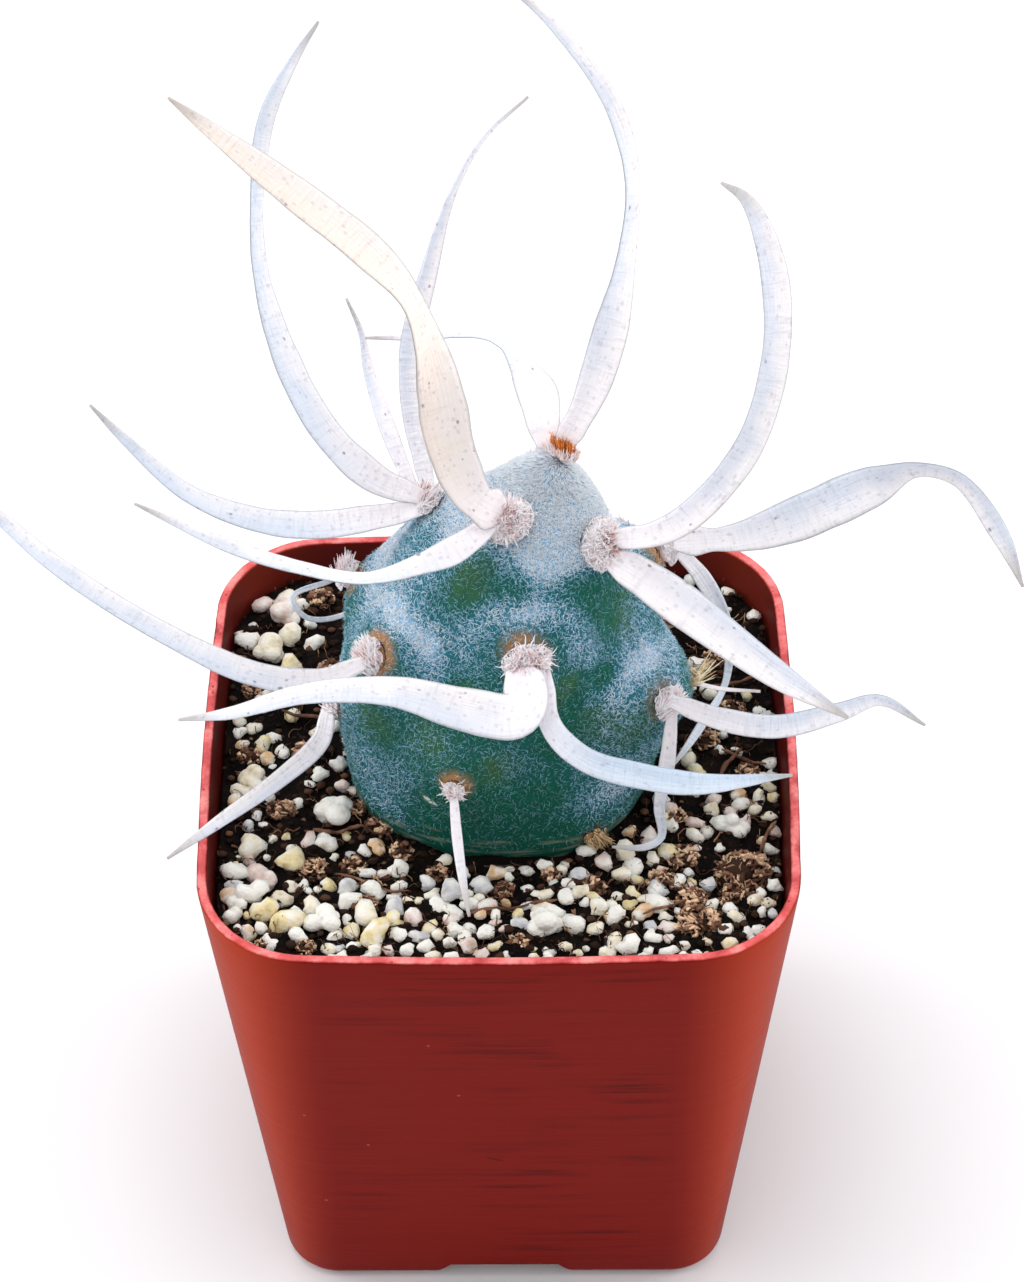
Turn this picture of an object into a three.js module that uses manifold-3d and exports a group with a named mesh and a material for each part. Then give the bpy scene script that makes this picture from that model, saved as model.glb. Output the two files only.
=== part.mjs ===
// Paper spine cactus growing in a square nursery pot.
// Millimetres, +Z up. The origin is the middle of the pot's foot, and the pot's front wall faces -Y.

import * as THREE from 'three';
import { mergeVertices } from 'three/addons/utils/BufferGeometryUtils.js';
import Module from 'manifold-3d';

const wasm = await Module();
wasm.setup();

// Clearance kept between pieces that touch on the real plant
const GAP = 0.3;
// Corners nearer than this are one corner
const WELD_DISTANCE = 1e-4;

// Pot
const POT_TOP_WIDTH = 63.5;
const POT_FOOT_WIDTH = 50;
const POT_HEIGHT = 63.5;
const POT_TOP_CORNER = 12;
const POT_FOOT_CORNER = 6.1;
const POT_WALL = 1.1;
const POT_FLOOR = 1.2;
const POT_WALL_BOW = 0.4;
const POT_RIM_ROUND = 0.35;
const POT_FOOT_ROUND = 1.8;
const CORNER_STEPS = 6;
const SIDE_STEPS = 4;

// Raised cross under the pot, whose ends show as a shallow arch in each wall
const CROSS_FOOT_WIDTH = 17.3;
const CROSS_TOP_WIDTH = 12.2;
const CROSS_HEIGHT = 2.6;
const DRAIN_DIAMETER = 5;
const DRAIN_SPACING = 13;
const FOOT_NICK = { x: 12.6, width: 2.8, height: 0.7, depth: 4 };

// Potting mix
const SOIL_LEVEL = 59;
const SOIL_FRONT_RISE = 1.6;
const SOIL_RISE_START = 12;
const SOIL_RISE_LENGTH = 16;
const SOIL_RINGS = 7;

// Stem: a rounded body whose top leans a little, with a swelling under each areole
const STEM_CENTRE = new THREE.Vector3(0.6, 2, 74);
const STEM_RADIUS = 15.6;
const STEM_UP = 24.5;
const STEM_DOWN = 28;
const STEM_TOP_ROUNDNESS = 1.68;
const STEM_FOOT_ROUNDNESS = 4;
const STEM_LEAN = { x: 4.5, y: 2.5, power: 1.5 };
const STEM_AROUND = 44;
const STEM_UPWARDS = 26;

// Spines: flat papery ribbons
const SPINE_THICKNESS = 0.5;
const SPINE_STATIONS = 17;
// A flat diamond keeps only part of what its corners are moved out by, so wool is cut back by more than GAP
const BLADE_GAP = 0.45;
const FACING_FRONT = new THREE.Vector3(0, -0.7, 0.7);
const FACING_BACK = new THREE.Vector3(0, 0.7, 0.7);

const COLOURS = {
  pot: { color: 0x8e2a25, roughness: 0.55 },
  soil: { color: 0x2a2220, roughness: 0.95 },
  stem: { color: 0x3f6f74, roughness: 0.8 },
  wool: { color: 0xd9b9a8, roughness: 1 },
  crownWool: { color: 0xd98a4a, roughness: 1 },
  dryWool: { color: 0x8a6648, roughness: 1 },
  spine: { color: 0xe4e4f2, roughness: 0.7 },
  creamSpine: { color: 0xf1dccb, roughness: 0.7 },
  perlite: { color: 0xe8e0d0, roughness: 0.9 },
  bark: { color: 0x6b452c, roughness: 0.95 },
};

// Areoles, the woolly cushions that the spines grow from. Azimuth and elevation are seen from the stem's
// centre, in degrees: azimuth 0 is +X and -90 is the front. Swell is the height of the tubercle under the
// areole, and spread is its breadth in radians. Wool is half the cushion's length across and upwards, and
// its height.
const areole = (name, azimuth, elevation, swell, spread, wool, look = 'wool') => (
  { name, azimuth, elevation, swell, spread, wool, look }
);
const AREOLES = [
  areole('crown', 0, 90, 1.1, 0.2, [2, 1.7, 1.7], 'crownWool'),
  areole('front_high', -118, 73, 2, 0.3, [2.6, 2.4, 1.9]),
  areole('right_high', -50, 66, 2.4, 0.26, [2.5, 2.5, 1.9]),
  areole('left_high', 174, 61, 2.8, 0.3, [1.8, 1.8, 1.7]),
  areole('right_shoulder', 16, 34, 2.6, 0.26, [1.8, 1.8, 1.7]),
  areole('front_middle', -87, 42, 2.2, 0.34, [3.1, 1.9, 1.6]),
  areole('left_middle', -149, 26, 2.6, 0.34, [2, 2.1, 1.6]),
  areole('left_low', -172, -15, 2.4, 0.42, [1.4, 1.4, 1.3]),
  areole('right_middle', -28, 6, 2.6, 0.34, [1.9, 1.9, 1.7]),
  areole('right_side', -8, -2, 3.2, 0.3, [1.3, 1.3, 1.3]),
  areole('front_low', -107, -9, 1.8, 0.32, [1.4, 1.4, 1.3]),
  areole('left_shoulder', 164, 21, 2.6, 0.28, [1.6, 1.6, 1.4]),
  areole('soil_right', -55, -39, 1.2, 0.25, [1.3, 1.3, 1.2], 'dryWool'),
  areole('soil_left', -149, -44, 2, 0.34, [1.3, 1.3, 1.2], 'dryWool'),
  areole('back_left_high', 135, 42, 1.6, 0.26, [1.8, 1.8, 1.6]),
  areole('back_high', 80, 50, 1.4, 0.26, [1.8, 1.8, 1.6]),
  areole('back_right_high', 45, 20, 1.2, 0.28, [1.7, 1.7, 1.5]),
  areole('back_middle', 100, 16, 2.4, 0.36, [1.8, 1.8, 1.5]),
  areole('back_right_low', 60, -4, 2.4, 0.36, [1.6, 1.6, 1.4]),
  areole('back_left_low', 135, -8, 2.4, 0.36, [1.6, 1.6, 1.4]),
];

// Hollows and fullness of the stem between its tubercles
const STEM_SHAPING = [
  { azimuth: 130, elevation: 62, swell: -2.4, spread: 0.34 },
  { azimuth: 25, elevation: 62, swell: -1.8, spread: 0.26 },
  { azimuth: -20, elevation: -24, swell: 1.6, spread: 0.4 },
];

// Spines. Each point of a path is x, y, z, the blade's width there, and how far the blade is turned there,
// in degrees, from having its broad side to the front and top, or to facing where the spine has one.
const SPINES = [
  {
    name: 'crown_tall', areole: 'crown',
    path: [
      [6.8, 4.8, 101.6, 1.2, 0], [9.3, 6.5, 106, 3.1, 0], [11.2, 9, 111, 3.7, 5],
      [13.3, 14, 119, 3, 50], [13.9, 18, 126, 2.4, 50], [12, 21.5, 132.5, 1.8, 10],
      [6, 25, 140, 1.1, 0], [1, 26, 144.5, 0.3, 0],
    ],
  },
  {
    name: 'crown_curl', areole: 'crown',
    path: [
      [5, 5.4, 101.8, 1.2, 0], [4.8, 7.5, 103.5, 3.6, 0], [4.3, 11, 103.5, 4.3, 10],
      [3, 15.5, 103, 3.6, 40], [1, 20, 102, 2.6, 65], [-2, 23, 101, 1.4, 60],
      [-9.5, 24.5, 99.5, 0.7, 30], [-14, 24.5, 99.5, 0.3, 0],
    ],
  },
  {
    name: 'front_cream', areole: 'front_high', look: 'creamSpine',
    path: [
      [0.6, -2.6, 99.2, 1.4, 0], [-2, -4.1, 102.7, 3.8, 0], [-4.2, -5, 110.2, 4.8, 0],
      [-5.2, -4.6, 117.1, 4.8, 10], [-6.4, -3.8, 123.3, 4.4, 50], [-7.9, -2.2, 127.3, 4.1, 55],
      [-11.8, 1.5, 130.1, 3.8, 20], [-18.7, 6.5, 133.1, 3.4, 5], [-27.4, 11.5, 137.5, 1.6, 0],
      [-31.5, 13.5, 139.9, 0.3, 0],
    ],
  },
  {
    name: 'front_left', areole: 'front_high',
    path: [
      [-0.4, -3.4, 98.6, 1.4, 0], [-4, -7, 98.5, 2.9, 0], [-7.5, -9, 98.3, 2.3, 20],
      [-13, -10.3, 97.6, 2, 50], [-20, -10.3, 99.3, 1.8, 40], [-27, -9, 101.2, 1.4, 10],
      [-36, -7, 105, 0.3, 0],
    ],
  },
  {
    name: 'right_arch', areole: 'right_high',
    path: [
      [12, -3.8, 96.8, 1.3, 0], [16, -5, 98.5, 2.6, 0], [20, -5.5, 102, 3, 0],
      [25.5, -3.5, 109.5, 3, 10], [28, 1, 118, 2.9, 10], [27.5, 6, 125, 2.8, 10],
      [25, 9.5, 130, 1.3, 0], [22.5, 11, 131, 0.3, 0],
    ],
  },
  {
    name: 'right_broad', areole: 'right_high',
    path: [
      [11.8, -5.2, 95.2, 1.3, 0], [14, -6, 94.3, 3.4, 0], [18, -7.8, 92.2, 4.5, 0],
      [24.5, -11, 88.5, 3.6, 0], [29.5, -13, 85.5, 2.7, 0], [36, -14.5, 81.5, 0.4, 0],
    ],
  },
  {
    name: 'left_tall', areole: 'left_high',
    path: [
      [-8.1, 4.8, 94.9, 1.3, 0], [-12.5, 5.2, 97, 3.1, 0], [-17.5, 7.5, 101.5, 3.1, 10],
      [-21.5, 12, 107.5, 3, 25], [-24, 17, 115, 2.4, 50], [-24.2, 21, 121.5, 1.9, 50],
      [-23, 25, 128.5, 1.8, 15], [-20, 27.5, 134, 1, 0], [-17.5, 29, 137.5, 0.3, 0],
    ],
  },
  {
    name: 'left_sweep', areole: 'left_high',
    path: [
      [-8.6, 3.9, 93.6, 1.3, 0], [-12.5, 4.5, 92.2, 2.6, 0], [-18.5, 6, 89.7, 3, 0],
      [-25, 8, 88.5, 2.7, 10], [-32.5, 10, 90.5, 2, 20], [-39, 12.5, 96, 1.1, 0],
      [-42.5, 14, 99.5, 0.3, 0],
    ],
  },
  {
    name: 'right_long', areole: 'right_shoulder',
    path: [
      [18.7, 7, 86, 1.2, 0], [25.5, 7.5, 86.2, 3.2, 0], [31, 8, 88, 4.7, 0], [38.5, 8, 92.5, 4.6, 5],
      [43.5, 7.7, 95.6, 2.6, 55], [48, 6.5, 95.2, 2, 45], [52.5, 3.5, 90, 2, 10], [55, 1, 85, 0.3, 0],
    ],
  },
  {
    name: 'right_hook', areole: 'right_shoulder',
    path: [
      [19.1, 7.9, 84.1, 1, 0], [22, 9, 78.5, 1.9, 0], [24.7, 9.3, 71, 1.3, 10],
      [24.7, 6.5, 65.6, 0.8, 0], [21.5, 0.5, 64, 1, 0], [18.4, -6, 65, 0.3, 0],
    ],
  },
  {
    name: 'front_broad', areole: 'front_middle',
    path: [
      [2.2, -13.4, 87.3, 1.8, 0], [3.2, -17, 87.3, 4.2, 0], [2, -19.5, 87.2, 4.7, 0],
      [-3.5, -20.7, 89.5, 4.4, 0], [-10, -19.3, 90.5, 3.1, 0], [-19, -16.5, 87.5, 2.2, 0],
      [-27.5, -13.5, 81.5, 1.3, 0], [-33, -12, 79, 0.3, 0],
    ],
  },
  {
    name: 'front_right', areole: 'front_middle',
    path: [
      [4.9, -12.9, 86.3, 1.2, 0], [5.6, -18, 84, 2.3, 0], [9, -20.7, 82, 2.5, 0],
      [15, -20.8, 79.5, 2.7, 0], [21, -19.5, 77, 2.2, 0], [30.5, -16, 74.5, 0.3, 0],
    ],
  },
  {
    name: 'left_long', areole: 'left_middle',
    path: [
      [-14.2, -7.6, 82.6, 1.2, 0], [-18.5, -9.2, 81.8, 2.6, 0], [-25, -9.5, 83.2, 2.6, 0],
      [-34.5, -7, 86.9, 2.2, 10], [-45, -3, 92.4, 1.9, 10], [-51, 1, 95.5, 1.3, 0],
      [-55, 2.5, 98.5, 0.3, 0],
    ],
  },
  {
    name: 'left_drooping', areole: 'left_low',
    path: [
      [-18.3, -1.4, 69.2, 1.2, 0], [-19, -6, 69.3, 2.1, 0], [-23, -11, 69, 1.9, 0],
      [-29, -16.5, 68.5, 1.4, 0], [-34.5, -20.5, 67, 0.3, 0],
    ],
  },
  {
    name: 'right_forward', areole: 'right_middle',
    path: [
      [18.4, -8, 77.2, 1.2, 0], [23, -9.8, 76.6, 2.3, 0], [29, -10, 75.5, 2.5, 0],
      [35.5, -8.5, 76, 2.2, 20], [40, -7, 76.3, 1.4, 30], [45, -7, 72.5, 0.3, 0],
    ],
  },
  {
    name: 'right_bent', areole: 'right_middle',
    path: [
      [18.2, -8.4, 75, 1.1, 0], [17.8, -10.2, 70.5, 1.7, 0], [17, -12, 65.5, 1.2, 0],
      [17.2, -13.3, 62, 0.9, 0], [15.5, -14.2, 61.5, 0.8, 0], [12, -14.8, 62.2, 0.3, 0],
    ],
  },
  {
    name: 'front_short', areole: 'front_low',
    path: [
      [-4.6, -15.9, 71.1, 0.8, 0], [-4.3, -19, 69, 1.1, 0], [-3.7, -23, 66.5, 0.9, 0],
      [-3, -26.5, 64.5, 0.3, 0],
    ],
  },
  {
    name: 'left_loop', areole: 'back_left_low',
    path: [
      [-13.9, 15.4, 70.9, 0.6, 0], [-17, 12.5, 70, 0.6, 0], [-21, 10.6, 71.5, 0.6, 0],
      [-22.4, 11.5, 73.6, 0.6, 0], [-19, 15.5, 72, 0.6, 0], [-17, 17.5, 71, 0.3, 0],
    ],
  },
  {
    name: 'right_needle', areole: 'right_side',
    path: [
      [20.6, -1, 73, 0.5, 0], [23.5, -0.7, 71.7, 0.5, 0], [28, 0.5, 70, 0.3, 0],
    ],
  },
  {
    name: 'back_tall', areole: 'back_left_high',
    path: [
      [-7.4, 13.9, 87.7, 1.2, 0], [-8.9, 18.2, 93, 2.1, 0], [-9, 22.5, 100, 2.5, 0],
      [-7, 26, 107.5, 1.9, 0], [-4.5, 28.5, 115.5, 0.8, 0], [-1, 30, 122, 0.5, 0],
      [3.5, 31.5, 126, 0.3, 0],
    ],
  },
  {
    name: 'back_left_curved', areole: 'back_left_high',
    path: [
      [-8.9, 13.6, 87, 1, 0], [-11.4, 18.6, 90.8, 1.8, 0], [-13.7, 24, 95, 1.2, 0],
      [-14.5, 26.5, 98.5, 0.7, 0], [-16, 28, 102, 0.3, 0],
    ],
  },
  {
    name: 'back_drooping', areole: 'back_high', facing: FACING_BACK,
    path: [
      [5.2, 17.2, 89.4, 1.2, 0], [5.4, 20.8, 86, 2.4, 10], [3.5, 25.5, 79.5, 2.2, 30],
      [0.5, 29, 73.5, 1.5, 20], [-1.5, 30.5, 68.5, 0.3, 0],
    ],
  },
  {
    name: 'back_right_curved', areole: 'back_right_high', facing: FACING_BACK,
    path: [
      [13.8, 15.4, 80, 1.2, 0], [13.8, 19.5, 77, 2.2, 0], [12, 24.5, 71.5, 1.8, 25],
      [9, 28, 67.5, 0.3, 0],
    ],
  },
  {
    name: 'back_left_drooping', areole: 'back_middle', facing: FACING_BACK,
    path: [
      [-2.2, 21.2, 79.3, 1.2, 0], [-5, 25, 76, 2, 0], [-9, 27.8, 70, 1.6, 20], [-11, 28.6, 65, 0.3, 0],
    ],
  },
  {
    name: 'back_low', areole: 'back_right_low', facing: FACING_BACK,
    path: [
      [10.6, 19.1, 72.7, 1.1, 0], [10, 23.5, 70.3, 1.8, 0], [7, 27, 67, 1.3, 10],
      [2.5, 28.8, 64, 0.3, 0],
    ],
  },
];

// The largest lumps lying in the potting mix: place, size across, and a number that varies the shape
const PERLITE = [
  { name: 'left_large', x: -18.1, y: -7, size: 4.4, seed: 1 },
  { name: 'left_front', x: -24.8, y: -17, size: 3.8, seed: 2 },
  { name: 'front_left', x: -18.2, y: -23.7, size: 3.8, seed: 3 },
  { name: 'front', x: 5, y: -24.5, size: 4.2, seed: 4 },
  { name: 'left_edge', x: -27.2, y: -2.1, size: 3.8, seed: 5 },
  { name: 'back_left', x: -24.8, y: 23, size: 4, seed: 6 },
  { name: 'left_back', x: -25.9, y: 17.2, size: 4.4, seed: 7 },
  { name: 'right_front', x: 25, y: -9.7, size: 3.4, seed: 8 },
];
const BARK = [
  { name: 'right', x: 26, y: -16.3, size: 6.2, seed: 11 },
  { name: 'front', x: 20.8, y: -24.2, size: 4.8, seed: 12 },
];

const TURN = Math.PI * 2;
const toRadians = THREE.MathUtils.degToRad;
const group = new THREE.Group();

// Solids

// A closed body through rings of points that all have the same number of points, capped at both ends
function loft(rings) {
  const count = rings[0].length;
  const positions = rings.flat().flatMap((point) => point.toArray());
  const indices = [];
  for (let ring = 0; ring + 1 < rings.length; ring++) {
    for (let i = 0; i < count; i++) {
      const a = ring * count + i;
      const b = ring * count + (i + 1) % count;
      indices.push(a, b, b + count, a, b + count, a + count);
    }
  }
  const last = (rings.length - 1) * count;
  const bottom = positions.length / 3;
  positions.push(...middleOf(rings[0]).toArray());
  const top = bottom + 1;
  positions.push(...middleOf(rings[rings.length - 1]).toArray());
  for (let i = 0; i < count; i++) {
    const next = (i + 1) % count;
    indices.push(bottom, next, i, top, last + i, last + next);
  }
  const geometry = new THREE.BufferGeometry();
  geometry.setAttribute('position', new THREE.Float32BufferAttribute(positions, 3));
  geometry.setIndex(indices);
  return geometry;
}

function middleOf(points) {
  const sum = points.reduce((total, point) => total.add(point), new THREE.Vector3());
  return sum.divideScalar(points.length);
}

// The same surface with its corners shared between faces
function weld(geometry) {
  const bare = geometry.clone();
  bare.deleteAttribute('normal');
  bare.deleteAttribute('uv');
  return mergeVertices(bare, WELD_DISTANCE);
}

function toSolid(geometry) {
  const welded = weld(geometry);
  return new wasm.Manifold(new wasm.Mesh({
    numProp: 3,
    vertProperties: new Float32Array(welded.attributes.position.array),
    triVerts: new Uint32Array(welded.index.array),
  }));
}

function toGeometry(solid) {
  const mesh = solid.getMesh();
  const geometry = new THREE.BufferGeometry();
  geometry.setAttribute('position', new THREE.BufferAttribute(mesh.vertProperties, mesh.numProp));
  geometry.setIndex(new THREE.BufferAttribute(mesh.triVerts, 1));
  geometry.computeVertexNormals();
  return geometry;
}

// The main part of a solid whose cuts may have freed a crumb
function largestPart(solid) {
  return solid.decompose().reduce((best, part) => (part.volume() > best.volume() ? part : best));
}

function addPiece(name, geometry, look) {
  const material = new THREE.MeshStandardMaterial({ metalness: 0, side: THREE.FrontSide, ...COLOURS[look] });
  const mesh = new THREE.Mesh(geometry, material);
  mesh.name = name;
  group.add(mesh);
}

// Pot

function potHalfWidth(z) {
  return THREE.MathUtils.mapLinear(z, 0, POT_HEIGHT, POT_FOOT_WIDTH / 2, POT_TOP_WIDTH / 2);
}

function potCorner(z) {
  return THREE.MathUtils.mapLinear(z, 0, POT_HEIGHT, POT_FOOT_CORNER, POT_TOP_CORNER);
}

// One level of the pot: a square with round corners and slightly bowed sides, moved in by inset
function potRing(z, inset) {
  const corner = potCorner(z) - inset;
  const straight = potHalfWidth(z) - potCorner(z);
  const bow = POT_WALL_BOW * z / POT_HEIGHT;
  const ring = [];
  for (let quarter = 0; quarter < 4; quarter++) {
    const spin = new THREE.Matrix4().makeRotationZ(quarter * TURN / 4);
    for (let i = 0; i <= CORNER_STEPS; i++) {
      const angle = i / CORNER_STEPS * TURN / 4;
      const x = straight + corner * Math.cos(angle);
      const y = straight + corner * Math.sin(angle);
      ring.push(new THREE.Vector3(x, y, z).applyMatrix4(spin));
    }
    for (let i = 1; i < SIDE_STEPS; i++) {
      const along = i / SIDE_STEPS;
      const x = straight * (1 - 2 * along);
      const y = straight + corner + bow * Math.sin(along * Math.PI);
      ring.push(new THREE.Vector3(x, y, z).applyMatrix4(spin));
    }
  }
  return ring;
}

function crossBar(grow, turn) {
  const foot = CROSS_FOOT_WIDTH / 2 + grow;
  const top = CROSS_TOP_WIDTH / 2 + grow;
  const height = CROSS_HEIGHT + grow;
  const shape = new THREE.Shape([
    new THREE.Vector2(-foot, -1), new THREE.Vector2(foot, -1), new THREE.Vector2(foot, 0),
    new THREE.Vector2(top, height), new THREE.Vector2(-top, height), new THREE.Vector2(-foot, 0),
  ]);
  const bar = new THREE.ExtrudeGeometry(shape, { depth: POT_TOP_WIDTH, bevelEnabled: false });
  bar.translate(0, 0, -POT_TOP_WIDTH / 2);
  bar.rotateX(TURN / 4);
  bar.rotateZ(turn);
  return toSolid(bar);
}

function cross(grow) {
  return crossBar(grow, 0).add(crossBar(grow, TURN / 4));
}

function drainHole(x, y) {
  const hole = new THREE.CylinderGeometry(DRAIN_DIAMETER / 2, DRAIN_DIAMETER / 2, POT_FOOT_CORNER * 2, 16);
  hole.rotateX(TURN / 4);
  hole.translate(x, y, 0);
  return toSolid(hole);
}

function makePot() {
  const round = POT_FOOT_ROUND;
  const outside = [potRing(0, round)];
  outside.push(potRing(round * 0.3, round * 0.3));
  outside.push(potRing(round, 0));
  outside.push(potRing(POT_HEIGHT / 2, 0));
  outside.push(potRing(POT_HEIGHT - POT_RIM_ROUND, 0));
  outside.push(potRing(POT_HEIGHT, POT_RIM_ROUND));
  const inside = [potRing(POT_FLOOR, round + POT_WALL)];
  inside.push(potRing(POT_FLOOR + round, POT_WALL));
  inside.push(potRing(POT_HEIGHT / 2, POT_WALL));
  inside.push(potRing(POT_HEIGHT - POT_RIM_ROUND, POT_WALL));
  inside.push(potRing(POT_HEIGHT + 1, POT_WALL - POT_RIM_ROUND));
  const hollow = toSolid(loft(inside)).subtract(cross(POT_FLOOR));
  let pot = toSolid(loft(outside)).subtract(cross(0)).subtract(hollow);
  for (const [x, y] of [[0, 0], [1, 0], [-1, 0], [0, 1], [0, -1]]) {
    pot = pot.subtract(drainHole(x * DRAIN_SPACING, y * DRAIN_SPACING));
  }
  const nick = new THREE.BoxGeometry(FOOT_NICK.width, FOOT_NICK.depth, FOOT_NICK.height * 2);
  nick.translate(FOOT_NICK.x, -POT_FOOT_WIDTH / 2, 0);
  return pot.subtract(toSolid(nick));
}

// Stem

function directionOf(azimuth, elevation) {
  const level = Math.cos(elevation);
  return new THREE.Vector3(level * Math.cos(azimuth), level * Math.sin(azimuth), Math.sin(elevation));
}

const SWELLINGS = [...AREOLES, ...STEM_SHAPING].map(({ azimuth, elevation, swell, spread }) => (
  { direction: directionOf(toRadians(azimuth), toRadians(elevation)), swell, spread }
));

// The stem's surface in a direction from its centre, moved outwards by grow
function stemPoint(direction, grow) {
  const level = Math.hypot(direction.x, direction.y);
  const above = direction.z > 0;
  const power = above ? STEM_TOP_ROUNDNESS : STEM_FOOT_ROUNDNESS;
  const height = above ? STEM_UP : STEM_DOWN;
  let reach = ((level / STEM_RADIUS) ** power + (Math.abs(direction.z) / height) ** power) ** (-1 / power);
  for (const bump of SWELLINGS) {
    const angle = direction.angleTo(bump.direction);
    reach += bump.swell * Math.exp(-((angle / bump.spread) ** 2));
  }
  const point = STEM_CENTRE.clone().addScaledVector(direction, reach + grow);
  const lean = (Math.max(point.z - STEM_CENTRE.z, 0) / STEM_UP) ** STEM_LEAN.power;
  point.x += STEM_LEAN.x * lean;
  point.y += STEM_LEAN.y * lean;
  return point;
}

function makeStem(grow) {
  const rings = [];
  for (let level = 1; level < STEM_UPWARDS; level++) {
    const elevation = -TURN / 4 + level / STEM_UPWARDS * TURN / 2;
    const ring = [];
    for (let i = 0; i < STEM_AROUND; i++) {
      ring.push(stemPoint(directionOf(i / STEM_AROUND * TURN, elevation), grow));
    }
    rings.push(ring);
  }
  return toSolid(loft(rings));
}

// The place of an areole on the stem, with the directions across, upwards and outwards there
function areolePlace(name) {
  const { azimuth, elevation } = AREOLES.find((areole) => areole.name === name);
  const step = 0.02;
  const turn = toRadians(azimuth);
  const lift = Math.min(toRadians(elevation), TURN / 4 - 2 * step);
  const point = stemPoint(directionOf(turn, lift), 0);
  const across = stemPoint(directionOf(turn + step / Math.cos(lift), lift), 0).sub(point).normalize();
  const upwards = stemPoint(directionOf(turn, lift + step), 0).sub(point).normalize();
  const outwards = across.clone().cross(upwards).normalize();
  return { point, across, upwards, outwards };
}

// Spines

// A ribbon with a flat diamond section along the path, larger than the spine by grow on every side
function makeBlade({ path, facing = FACING_FRONT }, grow) {
  const points = path.map(([x, y, z]) => new THREE.Vector3(x, y, z));
  const curve = new THREE.CatmullRomCurve3(points, false, 'centripetal');
  const rings = [];
  for (let station = 0; station < SPINE_STATIONS; station++) {
    const along = station / (SPINE_STATIONS - 1);
    const t = curve.getUtoTmapping(along);
    const place = t * (path.length - 1);
    const from = Math.min(Math.floor(place), path.length - 2);
    const width = THREE.MathUtils.lerp(path[from][3], path[from + 1][3], place - from);
    const turn = THREE.MathUtils.lerp(path[from][4], path[from + 1][4], place - from);
    const tangent = curve.getTangent(t);
    const broad = facing.clone().addScaledVector(tangent, -facing.dot(tangent)).normalize();
    broad.applyAxisAngle(tangent, toRadians(turn));
    const side = tangent.clone().cross(broad).multiplyScalar(width / 2 + grow);
    broad.multiplyScalar(Math.min(SPINE_THICKNESS, width) / 2 + grow);
    const centre = curve.getPoint(t);
    if (station === 0) {
      centre.addScaledVector(tangent, -grow);
    }
    const corners = [side, broad.clone().negate(), side.clone().negate(), broad];
    rings.push(corners.map((corner) => corner.add(centre)));
  }
  return toSolid(loft(rings));
}

// Wool and loose lumps

// A lumpy ball of unit size. The seed varies the lumps.
function lumpyBall(seed, lumpiness) {
  const ball = weld(new THREE.IcosahedronGeometry(1, 1));
  const place = ball.attributes.position;
  const point = new THREE.Vector3();
  for (let i = 0; i < place.count; i++) {
    point.fromBufferAttribute(place, i);
    const sideways = Math.sin(point.x * 3.1 + seed) + Math.sin(point.y * 3.7 + seed * 2.3);
    const upwards = Math.sin(point.z * 4.3 + seed * 1.7);
    point.multiplyScalar(1 + lumpiness * (sideways + upwards));
    place.setXYZ(i, point.x, point.y, point.z);
  }
  return ball;
}

function makeWool(areole, seed, grow) {
  const { point, across, upwards, outwards } = areolePlace(areole.name);
  const [halfAcross, halfUp, height] = areole.wool;
  const ball = lumpyBall(seed, 0.05);
  ball.scale(halfAcross + grow, halfUp + grow, height + grow);
  ball.applyMatrix4(new THREE.Matrix4().makeBasis(across, upwards, outwards));
  const centre = point.clone().addScaledVector(outwards, height * 0.3);
  ball.translate(centre.x, centre.y, centre.z);
  return toSolid(ball);
}

function soilHeight(x, y) {
  const rise = THREE.MathUtils.smoothstep(-y, SOIL_RISE_START, SOIL_RISE_START + SOIL_RISE_LENGTH);
  const lumps = 0.35 * Math.sin(0.55 * x + 1.3) * Math.cos(0.5 * y) + 0.2 * Math.sin(1.1 * x + 0.7 * y);
  return SOIL_LEVEL + SOIL_FRONT_RISE * rise + lumps;
}

const soilPoint = (x, y) => new THREE.Vector3(x, y, soilHeight(x, y));

function makeLump({ x, y, size, seed }, flatness, sink, grow) {
  const half = size / 2;
  const ball = lumpyBall(seed, 0.07);
  ball.scale(half + grow, half * 0.85 + grow, half * flatness + grow);
  ball.rotateZ(seed);
  ball.translate(x, y, soilHeight(x, y) + half * flatness * sink);
  return toSolid(ball);
}

const makePerlite = (lump, grow) => makeLump(lump, 0.8, 0.35, grow);
const makeBark = (lump, grow) => makeLump(lump, 0.55, 0.3, grow);

// Potting mix

function makeSoil() {
  const inset = POT_WALL + GAP;
  const floor = POT_FLOOR + GAP;
  const rings = [potRing(floor, POT_FOOT_ROUND + inset), potRing(floor + POT_FOOT_ROUND, inset)];
  const edge = potRing(SOIL_LEVEL, inset + 0.1);
  for (let ring = 0; ring < SOIL_RINGS; ring++) {
    const scale = 1 - ring / SOIL_RINGS;
    rings.push(edge.map((point) => soilPoint(point.x * scale, point.y * scale)));
  }
  return toSolid(loft(rings)).subtract(cross(POT_FLOOR + GAP));
}

// Assembly

addPiece('pot', toGeometry(makePot()), 'pot');
addPiece('stem', toGeometry(makeStem(0)), 'stem');

const stemWithGap = makeStem(GAP);
let soil = makeSoil().subtract(stemWithGap);

for (const lump of PERLITE) {
  addPiece(`perlite_${lump.name}`, toGeometry(makePerlite(lump, 0)), 'perlite');
  soil = soil.subtract(makePerlite(lump, GAP));
}
for (const lump of BARK) {
  addPiece(`bark_${lump.name}`, toGeometry(makeBark(lump, 0)), 'bark');
  soil = soil.subtract(makeBark(lump, GAP));
}

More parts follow.
